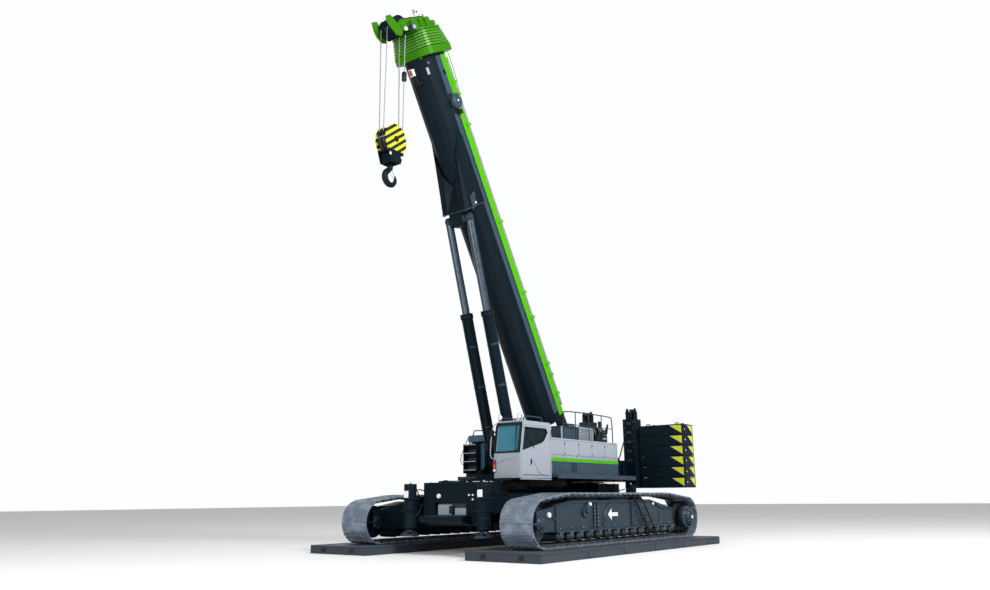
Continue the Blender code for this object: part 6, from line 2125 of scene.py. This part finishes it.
def build_winch():
    low, high = corners("winch_drum")
    centre = (low + high) / 2
    shape = Shape()
    for side in (-1, 1):
        shape.lathe(
            centre + Vector((0, side * 0.48, 0)), (0, side, 0),
            [
                (0, 0.39), (0.0, 0.455), (0.008, 0.459), (0.032, 0.459), (0.04, 0.455),
                (0.04, 0.30), (0.06, 0.28), (0.10, 0.16), (0.115, 0.12),
            ],
            CHAIN, 48, smooth=False,
        )
    wraps = []
    for k in range(40):
        y = -0.47 + 0.94 * k / 39
        wraps += [(0.47 + y - 0.010, 0.352), (0.47 + y, 0.368), (0.47 + y + 0.010, 0.352)]
    shape.lathe(centre - Vector((0, 0.47, 0)), (0, 1, 0), wraps, ROPE, 48)
    for k in range(8):
        a = 2 * math.pi * k / 8
        for side in (-1, 1):
            shape.bolts(
                [centre + Vector((0.22 * math.cos(a), side * 0.54, 0.22 * math.sin(a)))],
                (0, side, 0), 0.018,
            )
    shape.make("winch_drum_rope", "winch", ("winch_drum",))


def build_ballast():
    low, high = corners("counterweight_left")
    count = 6
    pitch = (high.z - low.z) / count
    for side, label in SIDES:
        low, high = corners(f"counterweight_{label}")
        repaint(SLATE, f"counterweight_{label}")
        inner, outer = (low.y, high.y) if side > 0 else (high.y, low.y)
        shape = Shape()
        front, rear = high.x, low.x
        for k in range(count):
            z = low.z + k * pitch
            shape.block(
                (front - 0.002, inner + side * 0.012, z + 0.012),
                (front + 0.006, outer - side * 0.012, z + pitch - 0.026), SLATE, 0.005,
            )
            shape.block(
                (rear - 0.006, inner + side * 0.05, z + 0.03),
                (rear + 0.002, outer - side * 0.05, z + pitch - 0.05), SLATE, 0.01,
            )
            # A thin black plate on the front face stands for the opening of each slab's lifting pocket:
            # painted shade of the recess.
            pocket = inner + side * 0.05
            shape.block(
                (front + 0.004, pocket, z + pitch - 0.10),
                (front + 0.009, pocket + side * 0.10, z + pitch - 0.05), TRIM, 0.002,
            )
        place = lambda a, b, d: (front + d, outer - side * a, b)
        flank = lambda a, b, d: (front - a, outer + side * d, b)
        for k in range(count):
            top = low.z + (k + 1) * pitch - 0.032
            shape.slab([(0.03, top), (0.56, top), (0.03, top - 0.32)], 0.005, 0.009, NAVY, place, 0.001)
            shape.slab(
                [(0.045, top - 0.012), (0.500, top - 0.012), (0.045, top - 0.290)], 0.008, 0.012,
                YELLOW, place, 0.001,
            )
            shape.slab([(0.80, top), (0.34, top), (0.80, top - 0.32)], -0.002, 0.004, NAVY, flank, 0.001)
            shape.slab(
                [(0.785, top - 0.012), (0.39, top - 0.012), (0.785, top - 0.285)], 0.002, 0.008,
                YELLOW, flank, 0.001,
            )
        for k in range(count):
            z = low.z + k * pitch
            shape.rod(
                (front - 0.15, outer - side * 0.01, z + pitch * 0.5),
                (front - 0.15, outer + side * 0.010, z + pitch * 0.5), 0.06, TRIM, 24,
            )
            shape.rod(
                (front - 0.15, outer, z + pitch * 0.5),
                (front - 0.15, outer + side * 0.018, z + pitch * 0.5), 0.022, WHITE, 12,
            )
        for x in (front - 0.2, rear + 0.2):
            for y in (inner + side * 0.3, outer - side * 0.3):
                shape.tube(
                    [
                        (x, y - 0.07, high.z - 0.02), (x, y - 0.07, high.z + 0.06),
                        (x, y + 0.07, high.z + 0.06), (x, y + 0.07, high.z - 0.02),
                    ],
                    0.018, SLATE, 8, 2,
                )
        shape.make(f"counterweight_marks_{label}", "upper")


def build_masts():
    """Bolt rows, ladders of pads and lifting heads on the two masts behind the frame."""
    shape = Shape()
    face = -5.05 - 0.04
    for side in (-1, 1):
        for y in (side * 0.78, side * 1.14):
            shape.bolts([(face, y, z) for z in span(2.4, 4.3, 9)], (1, 0, 0), 0.016)
            shape.block((face - 0.01, y - 0.05, 1.92), (face + 0.015, y + 0.05, 4.40), SLATE, 0.008)
        for z in span(2.55, 4.25, 6):
            shape.block(
                (face - 0.005, side * 0.86, z - 0.05), (face + 0.02, side * 1.06, z + 0.05),
                LIT_SLATE_AND_TRIM_PAINT, 0.008,
            )
        for y in (side * 0.80, side * 1.12):
            shape.slab(
                [(-5.42, 4.40), (-5.30, 4.40), (-5.28, 4.78), (-5.34, 4.84), (-5.40, 4.78)],
                y - 0.035, y + 0.035, SLATE, None, 0.012,
            )
            shape.rod((-5.34, y - 0.07, 4.66), (-5.34, y + 0.07, 4.66), 0.05, SLATE, 16)
        shape.rod((-5.36, side * 0.96, 4.42), (-5.36, side * 0.96, 4.80), 0.075, SLATE, 20)
        shape.tube(
            [
                (-5.20, side * 1.02, 4.40), (-5.16, side * 1.05, 4.62), (-5.24, side * 0.98, 4.74),
                (-5.30, side * 0.90, 4.62),
            ],
            0.018, RUBBER, 8, 2,
        )
        shape.tube(
            [
                (-5.10, side * 0.74, 3.6), (-4.96, side * 0.70, 3.3), (-4.90, side * 0.64, 3.0),
                (-4.8, side * 0.5, 2.76),
            ],
            0.024, RUBBER, 8, 2,
        )
    shape.block((-5.60, -0.70, 2.84), (-5.12, 0.70, 2.90), LIT_SLATE_AND_TRIM_PAINT, 0.01)
    shape.make("mast_gear", "upper")


build_winch()
build_ballast()
build_masts()

# ---------------------------------------------------------------- floor, light and camera

CAMERA_PLACE = Vector((22.996, 16.193, 1.560))
CAMERA_YAW = math.radians(217.42)
CAMERA_PITCH = math.radians(13.73)
CAMERA_ROLL = math.radians(-0.50)
CAMERA_LENS = 30.275
SENSOR = 36.0
DOME = 0.34


def build_camera():
    forward = Vector(
        (
            math.cos(CAMERA_PITCH) * math.cos(CAMERA_YAW),
            math.cos(CAMERA_PITCH) * math.sin(CAMERA_YAW),
            math.sin(CAMERA_PITCH),
        )
    )
    level = forward.cross(Vector((0, 0, 1))).normalized()
    upright = level.cross(forward)
    right = level * math.cos(CAMERA_ROLL) + upright * math.sin(CAMERA_ROLL)
    up = upright * math.cos(CAMERA_ROLL) - level * math.sin(CAMERA_ROLL)
    data = bpy.data.cameras.new("photo_camera")
    data.lens = CAMERA_LENS
    data.sensor_width = SENSOR
    data.clip_end = 500.0
    camera = bpy.data.objects.new("photo_camera", data)
    turn = Matrix((right, up, -forward)).transposed().to_4x4()
    camera.matrix_world = Matrix.Translation(CAMERA_PLACE) @ turn
    bpy.context.scene.collection.objects.link(camera)
    bpy.context.scene.camera = camera


def build_floor():
    made, tree, shader, where = nodes_for("pale_floor")
    tree.links.new(
        mix(tree, noise(tree, where, 0.4), (0.90, 0.90, 0.90), (0.94, 0.94, 0.94)),
        shader.inputs["Base Color"],
    )
    shader.inputs["Roughness"].default_value = 0.9
    mesh = bpy.data.meshes.new("floor")
    reach = 150.0
    mesh.from_pydata(
        [(-reach, -reach, 0), (reach, -reach, 0), (reach, reach, 0), (-reach, reach, 0)], [],
        [(0, 1, 2, 3)],
    )
    mesh.materials.append(made)
    floor = bpy.data.objects.new("floor", mesh)
    bpy.context.scene.collection.objects.link(floor)


def build_light():
    """A bright backdrop behind the crane, dimmer soft light elsewhere, and two panels."""
    world = bpy.data.worlds.new("studio")
    bpy.context.scene.world = world
    world.use_nodes = True
    tree = world.node_tree
    background = tree.nodes["Background"]
    coords = tree.nodes.new("ShaderNodeTexCoord")
    toward = tree.nodes.new("ShaderNodeVectorMath")
    toward.operation = "DOT_PRODUCT"
    toward.inputs[1].default_value = (math.cos(CAMERA_YAW), math.sin(CAMERA_YAW), 0.15)
    tree.links.new(coords.outputs["Generated"], toward.inputs[0])
    background.inputs["Color"].default_value = (0.985, 0.993, 1.0, 1.0)
    tree.links.new(
        ramp(tree, toward.outputs["Value"], 0.45, 0.70, DOME, 1.0), background.inputs["Strength"],
    )
    for name, place, aim, size, power in (
        ("key", (7, 32, 24), (0, 0, 4), 12.0, 13500.0),
        ("fill", (34, 4, 12), (0, 0, 5), 14.0, 4200.0),
    ):
        data = bpy.data.lights.new(name, "AREA")
        data.size = size
        data.energy = power
        light = bpy.data.objects.new(name, data)
        light.location = place
        light.rotation_euler = (Vector(aim) - Vector(place)).to_track_quat("-Z", "Y").to_euler()
        bpy.context.scene.collection.objects.link(light)


bpy.context.scene.view_settings.view_transform = "Standard"
build_floor()
build_light()
build_camera()
